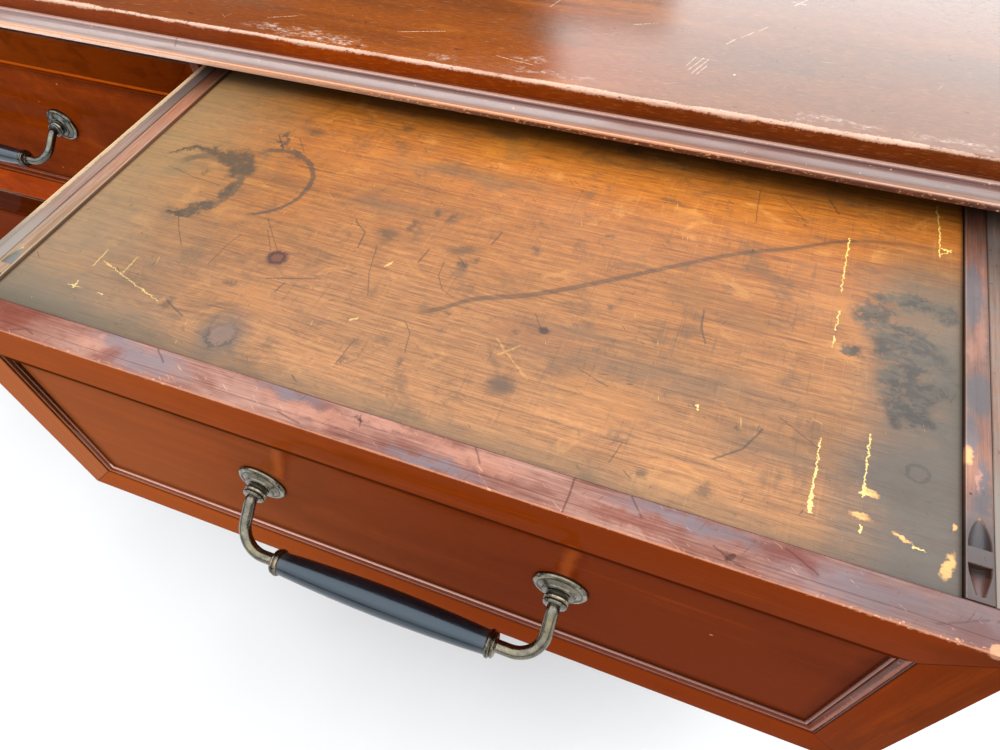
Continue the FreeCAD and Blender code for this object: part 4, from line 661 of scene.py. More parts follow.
        # ragged dark patch at the right
        patch = g.blobs(q2, ((282, 218, 21, 8), (262, 200, 17, 9), (276, 182, 19, 15, -30), (290, 176, 16, 18), (286, 150, 17, 20),
                             (252, 164, 9, 5), (281, 131, 12, 11), (302, 212, 7, 12)), 0.35)
        hole = g.blobs(q2, ((283, 198, 9, 5), (294, 158, 5, 4), (297, 192, 4, 6)), 0.5)
        patch = patch * (1.0 - hole * 0.75) * (g.mr(g.noise(q0, 0.13, 4, 0.7, 0.3), 0.36, 0.5) * 0.55 + 0.45)
        c = g.mix(patch * 0.88, c, g.mix(g.mr(smudge, 0.42, 0.6), srgb(48, 45, 44), srgb(80, 74, 70)))
        # ring stains and the blot between them
        d1 = g.vm("DISTANCE", q1, (-193, 195, 0), out=1)
        ang = g.m("ARCTAN2", y - 195.0, x + 193.0)
        wid = g.mr(ang, -1.3, 2.1, 0.8, 2.0, smooth=False)
        stain = g.mr(abs(d1 - 39.5), wid + 1.3, wid) * g.mr(ang, -1.38, -1.15) * g.mr(ang, 2.35, 1.9) * 0.8
        d2 = g.vm("DISTANCE", q1, (-243, 177, 0), out=1)
        an2 = g.m("ARCTAN2", y - 177.0, x + 243.0)
        wi2 = g.mr(an2, -1.2, 1.0, 1.0, 2.8, smooth=False)
        stain = g.mx(stain, g.mr(abs(d2 - 35.0), wi2 + 1.8, wi2) * g.mr(an2, -1.25, -0.9) * g.mr(an2, 2.7, 2.3) * 0.62)
        stain = g.mx(stain, g.blobs(q2, ((-232, 214, 17, 10), (-219, 203, 11, 12), (-252, 215, 12, 4, 15), (-268, 213, 12, 3, 12),
                                         (-283, 207, 8, 2.4, 20), (-213, 176, 5, 12), (-222, 152, 10, 5, 30), (-233, 146, 9, 3, 20),
                                         (-183, 235, 9, 4, -30), (-203, 239, 7, 2.2, -35), (-206, 250, 10, 1.6, -60)), 0.38) * 0.9)
        stain = g.mx(stain, g.mr(g.noise(q2, 0.09, 3, 0.75), 0.61, 0.66) * g.blobs(q0, ((-240, 188, 62, 46),), 0.5) * 0.5)
        stain = stain * (g.mr(g.noise(q0, 0.22, 3, 0.65), 0.25, 0.5) * 0.4 + 0.6)
        c = g.mix(stain * 0.9, c, srgb(62, 58, 55))
        # long dark curve
        f = g.curve(x, [(-20, 106.5), (-8, 112.5), (0, 118.5), (13, 129.6), (46.7, 145.4), (71.7, 160.8), (105, 183.8), (138.3, 207.5),
                        (171.7, 229.6), (205, 246.3), (240, 265.3), (263, 271.5), (300, 274.8)], -20, 300, 100, 290)
        slope = g.curve(x, [(-20, 0.78), (30, 0.86), (100, 0.82), (200, 0.86), (250, 0.95), (300, 1.0)], -20, 300, 0.5, 1.0)
        dl = abs(y - f) * slope
        wl = g.mr(abs(x - 60.0), 0, 240, 1.7, 0.8, smooth=False)
        line = g.mr(dl, wl + 0.9, wl) * (g.mr(g.noise(q0, 0.2, 2), 0.2, 0.5) * 0.35 + 0.65) * g.mr(x, 240, 285, 0.85, 0.5)
        line = g.mx(line * 0.72, g.mr(dl, 4.5, 1.5) * 0.16) * g.mr(x, -20, -8) * g.mr(x, 300, 286)
        c = g.mix(line, c, srgb(66, 46, 36))
        # thin dark scratches
        q3 = g.vm("ADD", q0, g.vm("SCALE", fv, scale=0.13))
        thin = [[(390, 465), (425, 510)], [(340, 575), (343, 520), (352, 490)], [(596, 440), (612, 500), (635, 550)],
                [(722, 440), (726, 472), (745, 500), (770, 510)], [(716, 580), (735, 600), (745, 640)], [(660, 640), (655, 692)],
                [(1186, 92), (1192, 180)], [(1222, 95), (1275, 155)], [(205, 475), (235, 515), (265, 548)], [(1285, 572), (1342, 606)],
                [(905, 500), (918, 520), (932, 534)], [(1086, 720), (1095, 685)], [(100, 365), (170, 380), (235, 385)], [(740, 420), (762, 440)],
                [(300, 205), (335, 245)], [(375, 440), (440, 510)], [(1000, 582), (1050, 600)], [(1170, 590), (1182, 600)], [(520, 255), (640, 275)]]
        c = g.mix(g.strokes(q3, [[L(*a) for a in s] for s in thin], 0.16, 0.42) * 0.6, c, srgb(66, 46, 34))
        thick = [[(530, 395), (560, 415), (566, 455)], [(1150, 410), (1153, 445), (1165, 475)], [(685, 420), (681, 455)], [(1302, 80), (1322, 115)],
                 [(1268, 600), (1248, 640), (1215, 668)], [(325, 668), (370, 688)], [(255, 210), (290, 250)], [(788, 340), (782, 375)],
                 [(455, 570), (535, 545)], [(490, 570), (485, 592)]]
        c = g.mix(g.strokes(q3, [[L(*a) for a in s] for s in thick], 0.3, 0.6) * 0.64, c, srgb(58, 46, 38))
        spots = [(740, 405, 10, 4, 20), (772, 420, 3, 2.4), (755, 436, 4, 2.4, -30), (1012, 450, 2, 3.4), (600, 405, 9, 5), (400, 600, 5, 2.4),
                 (325, 180, 8, 5), (690, 72, 15, 5), (1045, 168, 8, 2.2, -10), (498, 110, 5, 4), (330, 672, 4, 5), (905, 648, 9, 7, 20),
                 (1212, 720, 4, 4), (1130, 722, 3, 2.4), (775, 545, 2, 2), (968, 292, 3, 1.6), (890, 546, 3, 1.6), (940, 45, 7, 4),
                 (1235, 610, 3, 1.6), (745, 660, 1.6, 3.2), (660, 682, 1.8, 3.4), (860, 365, 3, 4, 30), (632, 375, 2.4, 7), (660, 330, 2, 5, 20),
                 (690, 332, 2, 5, -20)]
        c = g.mix(g.blobs(g.vm("ADD", q1, g.vm("SCALE", fv, scale=0.3)), [(*L(a, b), *r) for a, b, *r in spots], 0.75) * 0.6, c, srgb(62, 50, 42))
        # knots
        kd = g.vm("LENGTH", g.vm("MULTIPLY", g.vm("SUBTRACT", q1, (-134.6, 122.5, 0)), (1 / 9.0, 1 / 8.0, 0)), out=1)
        c = g.mix(g.mr(kd, 1.1, 0.8) * 0.85, c, srgb(104, 52, 34))
        c = g.mix(g.mr(abs(kd - 0.62), 0.25, 0.05) * 0.8, c, srgb(50, 28, 22))
        kd = g.vm("LENGTH", g.vm("MULTIPLY", g.vm("SUBTRACT", g.vm("ADD", q1, g.vm("ADD", g.vm("SCALE", wv, scale=0.3), g.vm("SCALE", fv, scale=0.45))), (-130.4, 48.3, 0)), (1 / 9.0, 1 / 11.0, 0)), out=1)
        c = g.mix(g.mr(kd, 2.6, 1.0) * 0.5, c, srgb(74, 74, 76))
        c = g.mix(g.mr(kd, 1.0, 0.6) * 0.6, c, srgb(122, 98, 90))
        c = g.mix(g.mr(abs(kd - 0.95), 0.2, 0.05) * g.mr(y + fb, 58, 44, 0.06, 0.6), c, srgb(56, 50, 50))
        c = g.mix(g.blobs(q1, ((57, 69, 7, 6),), 0.6) * 0.5, c, srgb(84, 66, 58))
        c = g.mix(g.blobs(q2, ((62, 116, 26, 9),), 0.8) * 0.35, c, srgb(118, 70, 48))
        c = g.mix(g.blobs(q1, ((67.5, 119.2, 4, 3),), 0.5) * 0.85, c, srgb(60, 34, 26))
        kr_ = g.vm("DISTANCE", q1, (290, 88.8, 0), out=1)
        c = g.mix(g.mr(abs(kr_ - 5.4), 1.6, 0.4) * 0.5, c, srgb(58, 52, 50))
        # bright scratches through the varnish
        brk = g.mr(g.noise(q0, 0.28, 2, 0.6), 0.3, 0.42)
        fine_ = [[(1342, 590), (1342, 650)], [(1344, 172), (1342, 300)], [(1343, 345), (1342, 385)], [(1342, 398), (1341, 420)], [(1403, 560), (1402, 660)], [(1475, 42), (1478, 90)],
                 [(1480, 96), (1482, 172)], [(148, 600), (149, 642)], [(210, 598), (211, 645)], [(160, 626), (310, 674)], [(138, 692), (165, 690)],
                 [(1484, 166), (1500, 150)]]
        broad = [[(1341, 640), (1341, 704)], [(1396, 656), (1410, 654)], [(1484, 150), (1498, 156)], [(150, 680), (152, 694)],
                 [(634, 608), (642, 600)], [(1176, 590), (1180, 598)], [(1401, 704), (1402, 711)],
                 [(1462, 710), (1474, 712)], [(202, 690), (212, 692)], [(640, 468), (632, 480)]]
        drip = [[(1341, 690), (1341, 704)], [(1402, 646), (1402, 654)]]
        graze = [[(868, 568), (900, 596), (935, 625)], [(905, 570), (880, 596)], [(1330, 560), (1342, 566)]]
        ks = g.mx(g.strokes(q1, [[L(*a) for a in s] for s in fine_], 0.16, 0.4), g.strokes(q1, [[L(*a) for a in s] for s in broad], 0.42, 0.4))
        ks = g.mx(ks * brk, g.strokes(q1, [[L(*a) for a in s] for s in drip], 0.9, 0.5))
        c = g.mix(ks * g.mr(x, -60, 120, 0.6, 0.95), c, srgb(244, 210, 132))
        c = g.mix(g.strokes(q1, [[L(*a) for a in s] for s in graze], 0.2, 0.7) * brk * 0.36, c, srgb(232, 172, 92))
        bare = g.blobs(g.vm("ADD", q1, g.vm("SCALE", wv, scale=0.3)), ((*L(1503, 722), 1.9, 7.5, -14), (*L(1408, 650), 4.2, 2.0, -16), (*L(1400, 690), 5, 1.7, -14), (*L(1452, 704), 4.4, 0.9, -14), (*L(1505, 668), 0.9, 2.0)), 0.4)
        c = g.mix(bare * 0.85, c, g.mix(fib, srgb(226, 150, 84), srgb(255, 204, 130)))
    else:
        q2 = g.vm("ADD", g.vm("ADD", q0, wv), (0, 0, seed))
        c = g.mix(g.mr(g.noise(q2, 0.016, 4, 0.7, 0.6), 0.63, 0.70) * 0.6, c, srgb(78, 66, 56))
        kn = g.voro(g.vec(x * 0.6 + seed, y, 0), 0.009)
        c = g.mix(g.mr(kn, 0.1, 0.06) * 0.7, c, srgb(70, 42, 28))
    # short nicks all over, dark and pale, at several angles
    for k, (a, th, colr, amt) in enumerate(((70, 0.735, (48, 32, 24), 0.7), (-38, 0.74, (56, 38, 28), 0.65), (12, 0.735, (60, 40, 30), 0.6), (104, 0.755, (232, 186, 120), 0.45))):
        u, w = g.turned(x, y, a)
        f = g.noise(g.vec(u * 0.11 + k * 5.3 + seed, w * 0.9, k * 2.3), 0.62, 2, 0.5)
        c = g.mix(g.mr(f, th, th + 0.03) * amt, c, srgb(*colr))
    c = g.mix(g.mr(g.noise(g.vec(x * 0.02 + seed, yy, 31), 1.25, 2, 0.6), 0.57, 0.66) * 0.34, c, srgb(92, 60, 36))
    c = g.mix(g.mr(g.voro(g.vec(x * 0.6 + fa, y + fb, seed), 0.075), 0.085, 0.04) * g.mr(blot, 0.42, 0.6, 0.1, 0.7), c, srgb(58, 42, 34))
    grime = g.mr(g.noise(q0, 0.9, 2, 0.7), 0.66, 0.74) * g.mr(cloud, 0.36, 0.56)
    c = g.mix(grime * 0.5, c, srgb(70, 52, 40))
    # edges of the board
    c = g.mix(g.mr(g.mx(abs(x) - 309.5, 25.5 - y), 0.0, 2.2) * 0.55, c, srgb(58, 44, 34))
    # the whole board has darkened with age; painted shade darkens its back further, under the top; it is a little
    # lighter in bands near y 50, 262 and 280, and less blue towards the back
    tone = g.mr(y, 306, 319, 0.66, 0.34) + g.mr(abs(y - 262.0), 44, 14) * g.mr(abs(x - 60.0), 300, 160) * 0.14 + g.mr(abs(y - 280.0), 26, 8) * g.mr(x, -90, 10) * 0.13 + g.mr(abs(y - 50.0), 26, 8) * 0.08
    c = g.mix(1.0, c, g.node_rgb(tone, tone * 0.965, tone * g.mr(y + wa, 60, 250, 0.88, 0.66)), "MULTIPLY")
    rough = g.mr(cloud, 0.3, 0.7, 0.36, 0.54)
    return finish_mat(g, c, rough, fib * 0.6 + cross * 0.2 + late * 0.3, 0.28, 0.0004)


def side_material(tag):
    """Drawer sides, back and ledges: bare, greyed wood; the outer top arris is worn to cream."""
    g = start("%s_drawer_side" % tag, rough=0.62, spec=0.3)
    p = local(g, DR[tag])
    x, y, z = g.xyz(p)
    band = g.noise(along(g, p, 1, 0.03), 0.35, 4, 0.6, 0.3)
    fine = g.noise(along(g, p, 1, 0.03), 1.5, 3, 0.7)
    n1 = g.noise(p, 0.07, 4, 0.65, 0.3)
    n2 = g.noise(p, 0.7, 3, 0.65)
    c = g.ramp(band * 0.55 + fine * 0.45, [(0.3, srgb(112, 78, 54)), (0.5, srgb(150, 112, 82)), (0.7, srgb(176, 138, 104))])
    c = g.mix(g.mr(n1, 0.5, 0.7) * 0.5, c, srgb(98, 82, 70))
    top = g.mr(z, -1.0, -0.2)
    t = g.ramp(fine * 0.5 + band * 0.5, [(0.3, srgb(94, 68, 56)), (0.5, srgb(120, 92, 78)), (0.7, srgb(142, 114, 96))])
    t = g.mix(g.mr(n1, 0.45, 0.65) * 0.5, t, srgb(112, 104, 98))
    outer = g.mr(abs(x) + (n1 - 0.5) * 4.5 + (n2 - 0.5) * 3.0, 336.0, 337.6)
    t = g.mix(outer * 0.8, t, g.mix(n2, srgb(160, 130, 94), srgb(190, 164, 124)))
    c = g.mix(top, c, t)
    ar = g.mr(g.mx(abs(abs(x) - 341.0), abs(z)) + (n2 - 0.5) * 2.4, 1.6, 0.6)
    c = g.mix(ar * 0.7, c, srgb(192, 166, 124))
    inn = g.mr(g.mx(abs(abs(x) - 325.5), abs(z)) + (n2 - 0.5) * 1.0, 1.0, 0.4)
    c = g.mix(inn * 0.6, c, srgb(60, 42, 34))
    nick = g.mr(g.noise(along(g, p, 1, 0.6), 0.24, 3, 0.7), 0.64, 0.69) * g.mr(z, -6, -1)
    c = g.mix(nick * 0.6, c, srgb(72, 56, 46))
    if tag == "upper_right":
        c = g.mix(g.mr(y + (n1 - 0.5) * 20, 126, 76) * top * 0.82, c, g.mix(g.mr(abs(x), 333, 336), srgb(122, 113, 104), srgb(100, 92, 86)))
        # painted shade: on the upper right drawer the sides darken towards the back, under the top, less on the outer
        # edge
        tone = g.mr(y, 195, 290, 0.92, 0.32) + g.mr(y, 200, 300) * g.mr(abs(x), 335, 337) * 0.62
        c = g.mix(1.0, c, g.node_rgb(tone, tone, tone), "MULTIPLY")
    return finish_mat(g, c, g.mr(fine, 0.3, 0.7, 0.55, 0.75), band * 0.5 + fine * 0.5 - nick, 0.35, 0.0006)


def bar_material(tag, side):
    g = start("%s_bar_%s" % (tag, side), rough=0.45, spec=0.4, coat=0.12, coat_rough=0.25)
    p = local(g, DR[tag])
    x, y, z = g.xyz(p)
    seed = {"left": 13, "right": 47}[side]
    right = side == "right" and tag == "upper_right"
    band = g.noise(along(g, p, 1, 0.03, (seed, 0, 0)), 0.4, 4, 0.6, 0.3)
    fine = g.noise(along(g, p, 1, 0.035, (seed, 0, 0)), 1.6, 3, 0.7)
    n1 = g.noise(g.vm("ADD", p, (seed, 0, 0)), 0.05, 4, 0.65, 0.4)
    n2 = g.noise(p, 0.7, 3, 0.65)
    c = g.ramp(band * 0.5 + fine * 0.5, [(0.3, srgb(92, 52, 36)), (0.5, srgb(128, 80, 58)), (0.7, srgb(152, 104, 78))])
    c = g.mix(g.mr(n1, 0.5, 0.66) * (0.6 if right else 0.3), c, srgb(88, 80, 80) if right else srgb(118, 94, 82))
    q = g.vec(abs(x), y, 0)
    if right:
        off, oa, ob = g.warp(p, 0.2, 3, 0.65, 8.0)
        qd = g.vm("ADD", q, off)
        grey = g.blobs(qd, ((318, 48, 10, 34), (320.5, 86, 3.6, 22), (314.5, 122, 4.5, 14), (319, 152, 8, 16), (316, 236, 6, 30)), 0.35)
        c = g.mix(grey * 0.75, c, srgb(78, 78, 82))
        c = g.mix(g.blobs(qd, ((313.5, 108, 2.4, 5),), 0.4) * 0.9, c, srgb(214, 150, 88))
        c = g.mix(g.blobs(qd, ((318.5, 93, 1.2, 7), (316, 186, 3, 10), (321, 196, 3, 14)), 0.6) * 0.5, c, srgb(196, 128, 96))
        c = g.mix(g.blobs(q, ((314.6, 83.5, 0.8, 0.8),), 0.3) * 0.95, c, srgb(22, 16, 14))
    arr = g.mr(abs(abs(x) - 312.4) + (n2 - 0.5) * 1.1, 0.7, 0.2) * g.mr(z, -1.4, -0.6)
    c = g.mix(arr * 0.5, c, srgb(176, 134, 110))
    out = g.mr(abs(abs(x) - 325.0) + (n2 - 0.5) * 0.9, 0.8, 0.3) * g.mr(z, -3, -0.6)
    c = g.mix(out * 0.5, c, srgb(88, 52, 38))
    c = g.mix(g.mr(abs(x), 312.6, 312.2) * g.mr(z, -0.9, -1.6) * 0.6, c, srgb(48, 26, 18))
    # inside the scoops: grey floor behind, red brown in front, and painted shade under the bridge
    inside = g.mr(z, -0.7, -2.2) * g.mr(abs(abs(x) - 318.75), 5.9, 5.5)
    c = g.mix(inside * 0.75, c, g.mix(g.mr(y, 60, 40), srgb(88, 80, 80), srgb(128, 76, 58)))
    under = inside * g.mr(y + (n2 - 0.5) * 2.0, 37.6, 40.2) * g.mr(y, 48, 46)
    c = g.mix(under * 0.8, c, srgb(52, 34, 26))
    rim = g.mr(abs(z + 0.8), 0.6, 0.15) * g.mr(abs(abs(x) - 318.75), 6.2, 5.9) * g.mr(abs(y - 48), 26, 24)
    c = g.mix(rim * 0.6, c, srgb(190, 136, 100))
    nick = g.mr(g.noise(along(g, p, 1, 0.6, (seed, 0, 0)), 0.3, 3, 0.7), 0.67, 0.71)
    c = g.mix(nick * 0.6, c, srgb(66, 46, 38))
    if tag == "upper_right":
        # painted shade: on the upper right drawer both bars darken towards the back, under the top; the right bar is
        # also lighter round y 104 and 248 and darker at its front end and round y 175, and the left bar's tint shifts
        # along its length
        tone = g.mr(y, 255, 312, 0.62 if right else 1.0, 0.24 if right else 0.3)
        if right:
            tone = tone + g.blobs(q, ((316, 104, 8, 16),), 0.6) * 0.35 - g.mr(y, 74, 56) * 0.29 - g.mr(abs(y - 175.0), 50, 20) * 0.12 + g.mr(abs(y - 248.0), 26, 10) * 0.1
        red = tone if right else tone * g.mr(y, 90, 190, 0.84, 1.04)
        c = g.mix(1.0, c, g.node_rgb(red, tone * (1.0 if right else g.mr(y, 190, 270, 1.24, 0.94)), tone * (1.04 if right else g.mr(y, 190, 270, 1.26, 0.78))), "MULTIPLY")
    return finish_mat(g, c, g.mr(n1, 0.3, 0.7, 0.36, 0.56), band * 0.4 + fine * 0.6 - nick, 0.3, 0.0005)


def brass_material(tag):
    g = start("%s_aged_brass" % tag, rough=0.22, metal=1.0)
    o = DR[tag]
    p = local(g, (o[0] + HX[tag], o[1], o[2]))
    x, y, z = g.xyz(p)
    n1 = g.noise(p, 0.16, 4, 0.65, 0.4)
    n2 = g.noise(p, 1.1, 3, 0.7)
    c = g.ramp(n1 * 0.6 + n2 * 0.4, [(0.3, srgb(62, 60, 56)), (0.45, srgb(98, 94, 88)), (0.58, srgb(126, 120, 108)), (0.72, srgb(156, 146, 122))])
    c = g.mix(g.mr(g.noise(p, 0.06, 3, 0.6), 0.5, 0.62) * 0.5, c, srgb(126, 116, 92))
    c = g.mix(1.0, c, (0.66, 0.72, 0.78, 1.0) if tag == "upper_left" else (0.84, 0.83, 0.76, 1.0), "MULTIPLY")
    spot = g.mr(g.noise(p, 0.5, 3, 0.7), 0.6, 0.68)
    c = g.mix(spot * 0.5, c, srgb(62, 56, 48))
    # dirt in the turned grooves of the rose, yellow wear on its rings
    rr = g.vm("LENGTH", g.vec(abs(x) - 114.3, 0, z + 111.5), out=1)
    dirt = g.mx(g.mr(abs(rr - 15.3), 0.9, 0.3), g.mr(abs(rr - 10.9), 0.7, 0.2)) * g.mr(y, -6, 3)
    dirt = g.mx(dirt, g.mr(abs(y + 3.6), 1.5, 0.5) * g.mr(rr, 9.0, 8.2))
    c = g.mix(dirt * 0.6, c, srgb(44, 40, 34))
    wear = g.mx(g.mr(abs(rr - 17.3), 1.2, 0.3) * g.mr(y, -4, 2), g.mr(abs(y + 6.0), 1.1, 0.4)) * g.mr(n1, 0.4, 0.6)
    c = g.mix(wear * 0.5, c, srgb(176, 160, 122))
    cx = abs(x) - 81.7
    col = g.mr(abs(cx), 5.5, 4.5)
    c = g.mix(col * g.mr(n1, 0.5, 0.62) * 0.4, c, srgb(150, 116, 84))
    c = g.mix(col * g.mr(abs(cx + 0.7), 0.8, 0.25) * 0.7, c, srgb(36, 30, 24))
    rough = g.mr(n2, 0.3, 0.7, 0.16, 0.28) + spot * 0.12 + dirt * 0.2
    return finish_mat(g, c, rough, n2 * 0.5 + n1 * 0.5 - spot * 0.5, 0.08, 0.0003)


def grip_material(tag):
    g = start("%s_black_grip" % tag, rough=0.3, spec=0.55, coat=0.3, coat_rough=0.07, tint=(0.62, 0.82, 1.0))
    o = DR[tag]
    p = local(g, (o[0] + HX[tag], o[1] - 39.6, o[2] - 135.0))
    x, y, z = g.xyz(p)
    n1 = g.noise(along(g, p, 0, 0.12), 0.3, 4, 0.6, 0.2)
    n2 = g.noise(along(g, p, 0, 0.05), 2.2, 3, 0.7)
    c = g.ramp(n1, [(0.3, srgb(6, 8, 12)), (0.6, srgb(11, 14, 20)), (0.8, srgb(22, 26, 33))])
    ends = g.mr(abs(x) + (n1 - 0.5) * 12, 70, 79)
    c = g.mix(ends * 0.35, c, srgb(52, 46, 42))
    sc = g.mr(n2, 0.68, 0.74)
    c = g.mix(sc * 0.4, c, srgb(80, 82, 88))
    return finish_mat(g, c, g.mr(n1, 0.3, 0.7, 0.24, 0.34) + sc * 0.15, n2 * 0.6 + n1 * 0.4, 0.06, 0.0003, coat=True)


def steel_material():
    g = start("dull_screw_steel", rough=0.45, metal=1.0)
    p = local(g, (0, 0, 0))
    n1 = g.noise(p, 0.5, 4, 0.65)
    c = g.ramp(n1, [(0.3, srgb(70, 62, 54)), (0.55, srgb(124, 116, 106)), (0.75, srgb(150, 140, 126))])
    c = g.mix(g.mr(g.noise(p, 0.9, 3, 0.7), 0.56, 0.68) * 0.7, c, srgb(92, 58, 36))
    return finish_mat(g, c, g.mr(n1, 0.3, 0.7, 0.36, 0.6), n1, 0.25, 0.0003)


# ------------------------------------------------------------------ pieces
def refine(nodes, name, mat, bevel=0.8, seg=2, smooth=28.0):
    """A cleaned copy of CAD nodes: coplanar triangles joined, arrises eased."""
    if isinstance(nodes, str):
        nodes = [nodes]
    bm = bmesh.new()
    for n in nodes:
        bm.from_mesh(NODES[n].data)
    bmesh.ops.remove_doubles(bm, verts=bm.verts, dist=2e-6)
    bmesh.ops.dissolve_limit(bm, angle_limit=math.radians(0.4), verts=bm.verts, edges=bm.edges, delimit={"NORMAL"})
    me = bpy.data.meshes.new(name)
    if bevel:
        edges = [e for e in bm.edges if len(e.link_faces) == 2 and e.calc_face_angle(0) > math.radians(40)]
        bmesh.ops.bevel(bm, geom=edges, offset=bevel / 1000.0, offset_type="OFFSET", segments=seg, profile=0.5,
                        affect="EDGES", clamp_overlap=True, loop_slide=True, miter_outer="SHARP")
    for f in bm.faces:
        f.smooth = True
    for e in bm.edges:
        if len(e.link_faces) == 2 and e.calc_face_angle(0) > math.radians(smooth):
            e.smooth = False
    bm.to_mesh(me)
    bm.free()
    o = bpy.data.objects.new(name, me)
    bpy.context.scene.collection.objects.link(o)
    me.materials.append(mat)
    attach(o, BODY[nodes[0]])
    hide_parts(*nodes)
    return o


def paint(node, mat):
    me = NODES[node].data
    me.materials.clear()
    me.materials.append(mat)


def wood(node, mat, bevel=0.8, seg=2):
    return refine(node, node + "_w", mat, bevel, seg)


top = top_material()
corn = cornice_material()
case_x = case_material("case_grain_x", 0, (3, 5, 1))
case_y = case_material("case_grain_y", 1, (9, 2, 4))
case_z = case_material("case_grain_z", 2, (1, 8, 2))
deal_x = deal_material("deal_grain_x", 0)
deal_y = deal_material("deal_grain_y", 1, (142, 104, 70), (3, 9, 0))
deal_z = deal_material("deal_grain_z", 2, (138, 106, 76), (7, 0, 5), 0.45)
steel = steel_material()

o = wood("top_board", top, 0.5, 2)
o.data.materials.append(top_material(True))
for f in o.data.polygons:
    if abs(f.normal.z) < 0.35 or f.normal.z < 0:
        f.material_index = 1
for n in ("cornice_front", "cornice_left", "cornice_right"):
    wood(n, corn, 0.35, 2)
for n in ("end_panel_left", "end_panel_right", "centre_divider"):
    wood(n, case_z, 0.8)
wood("top_rails", case_x, 0.6)
wood("plinth_front", case_x, 0.8)
wood("plinth_left", case_y, 0.8)
wood("plinth_right", case_y, 0.8)
for n, m_ in (("bottom_board", deal_x), ("middle_rails", deal_x), ("lower_rails", deal_x), ("drawer_runners", deal_y), ("kickers", deal_y),
              ("drawer_guides", deal_y), ("back_boards", deal_z), ("plinth_blocks", deal_z)):
    wood(n, m_, 0.8 if n not in ("drawer_guides", "back_boards") else 0.4)
paint("back_screws", steel)

for tag in DR:
    rail, stile, panel_m, mould, quirk = [front_material(tag, k) for k in ("rail", "stile", "panel", "moulding", "quirk")]
    lid, side_m = lid_material(tag), side_material(tag)
    brass, grip = brass_material(tag), grip_material(tag)
    bars = {s: bar_material(tag, s) for s in ("left", "right")}
    if tag == "upper_right":
        t = tag + "_"
        wood(t + "front_top_rail", rail, 0.7, 3)
        wood(t + "front_bottom_rail", rail, 0.7, 3)
        wood(t + "front_left_stile", stile, 0.7, 3)
        wood(t + "front_right_stile", stile, 0.7, 3)
        wood(t + "front_panel", panel_m, 0.3, 1)
        o = wood(t + "front_mouldings", mould, 0.12, 1)
        o.data.materials.append(quirk)
        # the top strip of the moulding takes the painted-shade copy
        for f in o.data.polygons:
            if f.center.z * 1000.0 - DR[tag][2] > -47.2:
                f.material_index = 1
        for k in ("side_left", "side_right", "back", "bottom", "lid_ledges"):
            wood(t + k, side_m, 0.6)
        wood(t + "lid", lid, 0.5)
        for s in bars:
            wood(t + "lid_bar_" + s, bars[s], 0.3, 2)
        for k in ("handle_rosettes", "handle_arm_left", "handle_arm_right", "handle_nuts"):
            paint(t + k, brass)
        paint(t + "handle_grip", grip)
    else:
        t = tag + "_"
        o = wood(t + "front", rail, 0.5, 2)
        me = o.data
        for mm in (stile, panel_m, mould, quirk):
            me.materials.append(mm)
        ox, oy, oz = DR[tag]
        for f in me.polygons:
            c = f.center * 1000.0
            x, y, z = c.x - ox, c.y - oy, c.z - oz
            ax = 343.0 - abs(x)
            dm = min(-z, (z + 247.0) * 37.0 / 40.0)
            if 0.4 < y < 4.6 and abs(x) < 306.2 and abs(z + 122) < 85.2:
                w_ = min(306.0 - abs(x), 85.0 - abs(z + 122.0))
                # the top strip of the moulding takes the painted-shade copy
                f.material_index = 2 if w_ >= 9.7 else 4 if z > -47.2 else 3
            elif 4.3 < y < 13.7 and abs(x) < 314 and abs(z + 122) < 93 and dm > 30:
                f.material_index = 2
            elif ax < dm - 0.01:
                f.material_index = 1
        wood(t + "box", side_m, 0.6)
        wood(t + "lid", lid, 0.5)
        for s in bars:
            wood(t + "lid_bar_" + s, bars[s], 0.3, 2)
        paint(t + "handle", brass)
        paint(t + "handle_grip", grip)


# ------------------------------------------------------------------ stage
def floor():
    me = bpy.data.meshes.new("floor")
    s = 14.0
    me.from_pydata([(-s, -s, -0.0006), (s, -s, -0.0006), (s, s, -0.0006), (-s, s, -0.0006)], [], [(0, 1, 2, 3)])
    o = bpy.data.objects.new("floor", me)
    bpy.context.scene.collection.objects.link(o)
    g = start("pale_floor", rough=0.8, spec=0.2)
    p = local(g, (0, 0, 0))
    c = g.ramp(g.noise(p, 0.004, 3, 0.5), [(0.3, (0.54, 0.54, 0.54)), (0.7, (0.57, 0.57, 0.57))])
    me.materials.append(finish_mat(g, c))


floor()

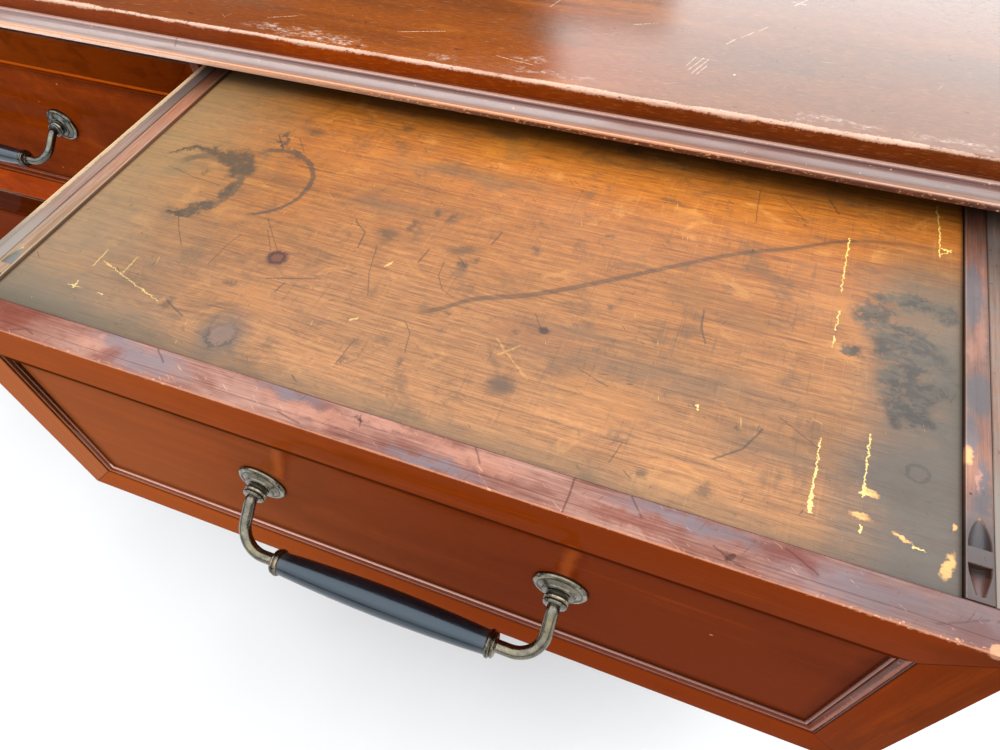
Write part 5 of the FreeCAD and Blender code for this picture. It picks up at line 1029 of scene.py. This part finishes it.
world = bpy.data.worlds.new("studio")
bpy.context.scene.world = world
world.use_nodes = True
wt = world.node_tree
wt.nodes.clear()
g = Graph(wt)
out = g.node("ShaderNodeOutputWorld")
bg = g.node("ShaderNodeBackground")
wt.links.new(bg.outputs[0], out.inputs[0])
co = g.node("ShaderNodeTexCoord")
dx, dy, dz = g.xyz(V(g, co.outputs["Generated"]))
az = g.m("ARCTAN2", dx, dy) * (180 / math.pi)
el = g.m("ARCSINE", dz) * (180 / math.pi)
front_ = g.mr(dy, 0.25, -0.25)
lum = g.mr(g.mr(el, 20, 46), 0, 1, g.mr(front_, 0, 1, 1.0, 2.1, smooth=False), 3.2, smooth=False)
dimz = g.mr(az, -110, -95) * g.mr(az, -15, -19) * g.mr(el, 38, 33)
lum = g.mr(dimz, 0, 1, lum, 0.11, smooth=False)
band = g.mr(el, 13, 7)
lum = g.mr(band, 0, 1, lum, 0.12, smooth=False)
win = g.mr(az, -17.6, -15.6) * g.mr(az, 62, 50) * g.mr(el, 8, 14) * g.mr(el, 42, 36)
cut = g.mr(az, -6.8, -8.2) * g.mr(el, 27.0, 25.9)
win = win * (1.0 - cut)
lum = g.mr(win, 0, 1, lum, 3.9, smooth=False)
# the room behind the object is seen plain and pale
lp = g.node("ShaderNodeLightPath")
seen = V(g, lp.outputs["Is Camera Ray"])
g.put(bg.inputs["Color"], (0.95, 0.98, 1.01, 1.0))
g.put(bg.inputs["Strength"], g.mr(seen, 0, 1, lum, 0.93, smooth=False))

# ------------------------------------------------------------------ camera
cam_data = bpy.data.cameras.new("camera")
cam_data.sensor_width = 36.0
cam_data.sensor_fit = "HORIZONTAL"
cam_data.lens = 714.9434855288214 * 36.0 / 1000.0
cam_data.clip_start, cam_data.clip_end = 0.02, 60.0
cam = bpy.data.objects.new("camera", cam_data)
bpy.context.scene.collection.objects.link(cam)
right = Vector((0.931847, 0.360312, -0.04286))
down = Vector((0.26223, -0.750362, -0.606788))
fwd = Vector((-0.250793, 0.554195, -0.793707))
cam.matrix_world = Matrix(((right.x, -down.x, -fwd.x, 0.512304653), (right.y, -down.y, -fwd.y, -0.742110532),
                           (right.z, -down.z, -fwd.z, 0.927682155), (0, 0, 0, 1)))
bpy.context.scene.camera = cam
bpy.context.scene.view_settings.view_transform = "Standard"
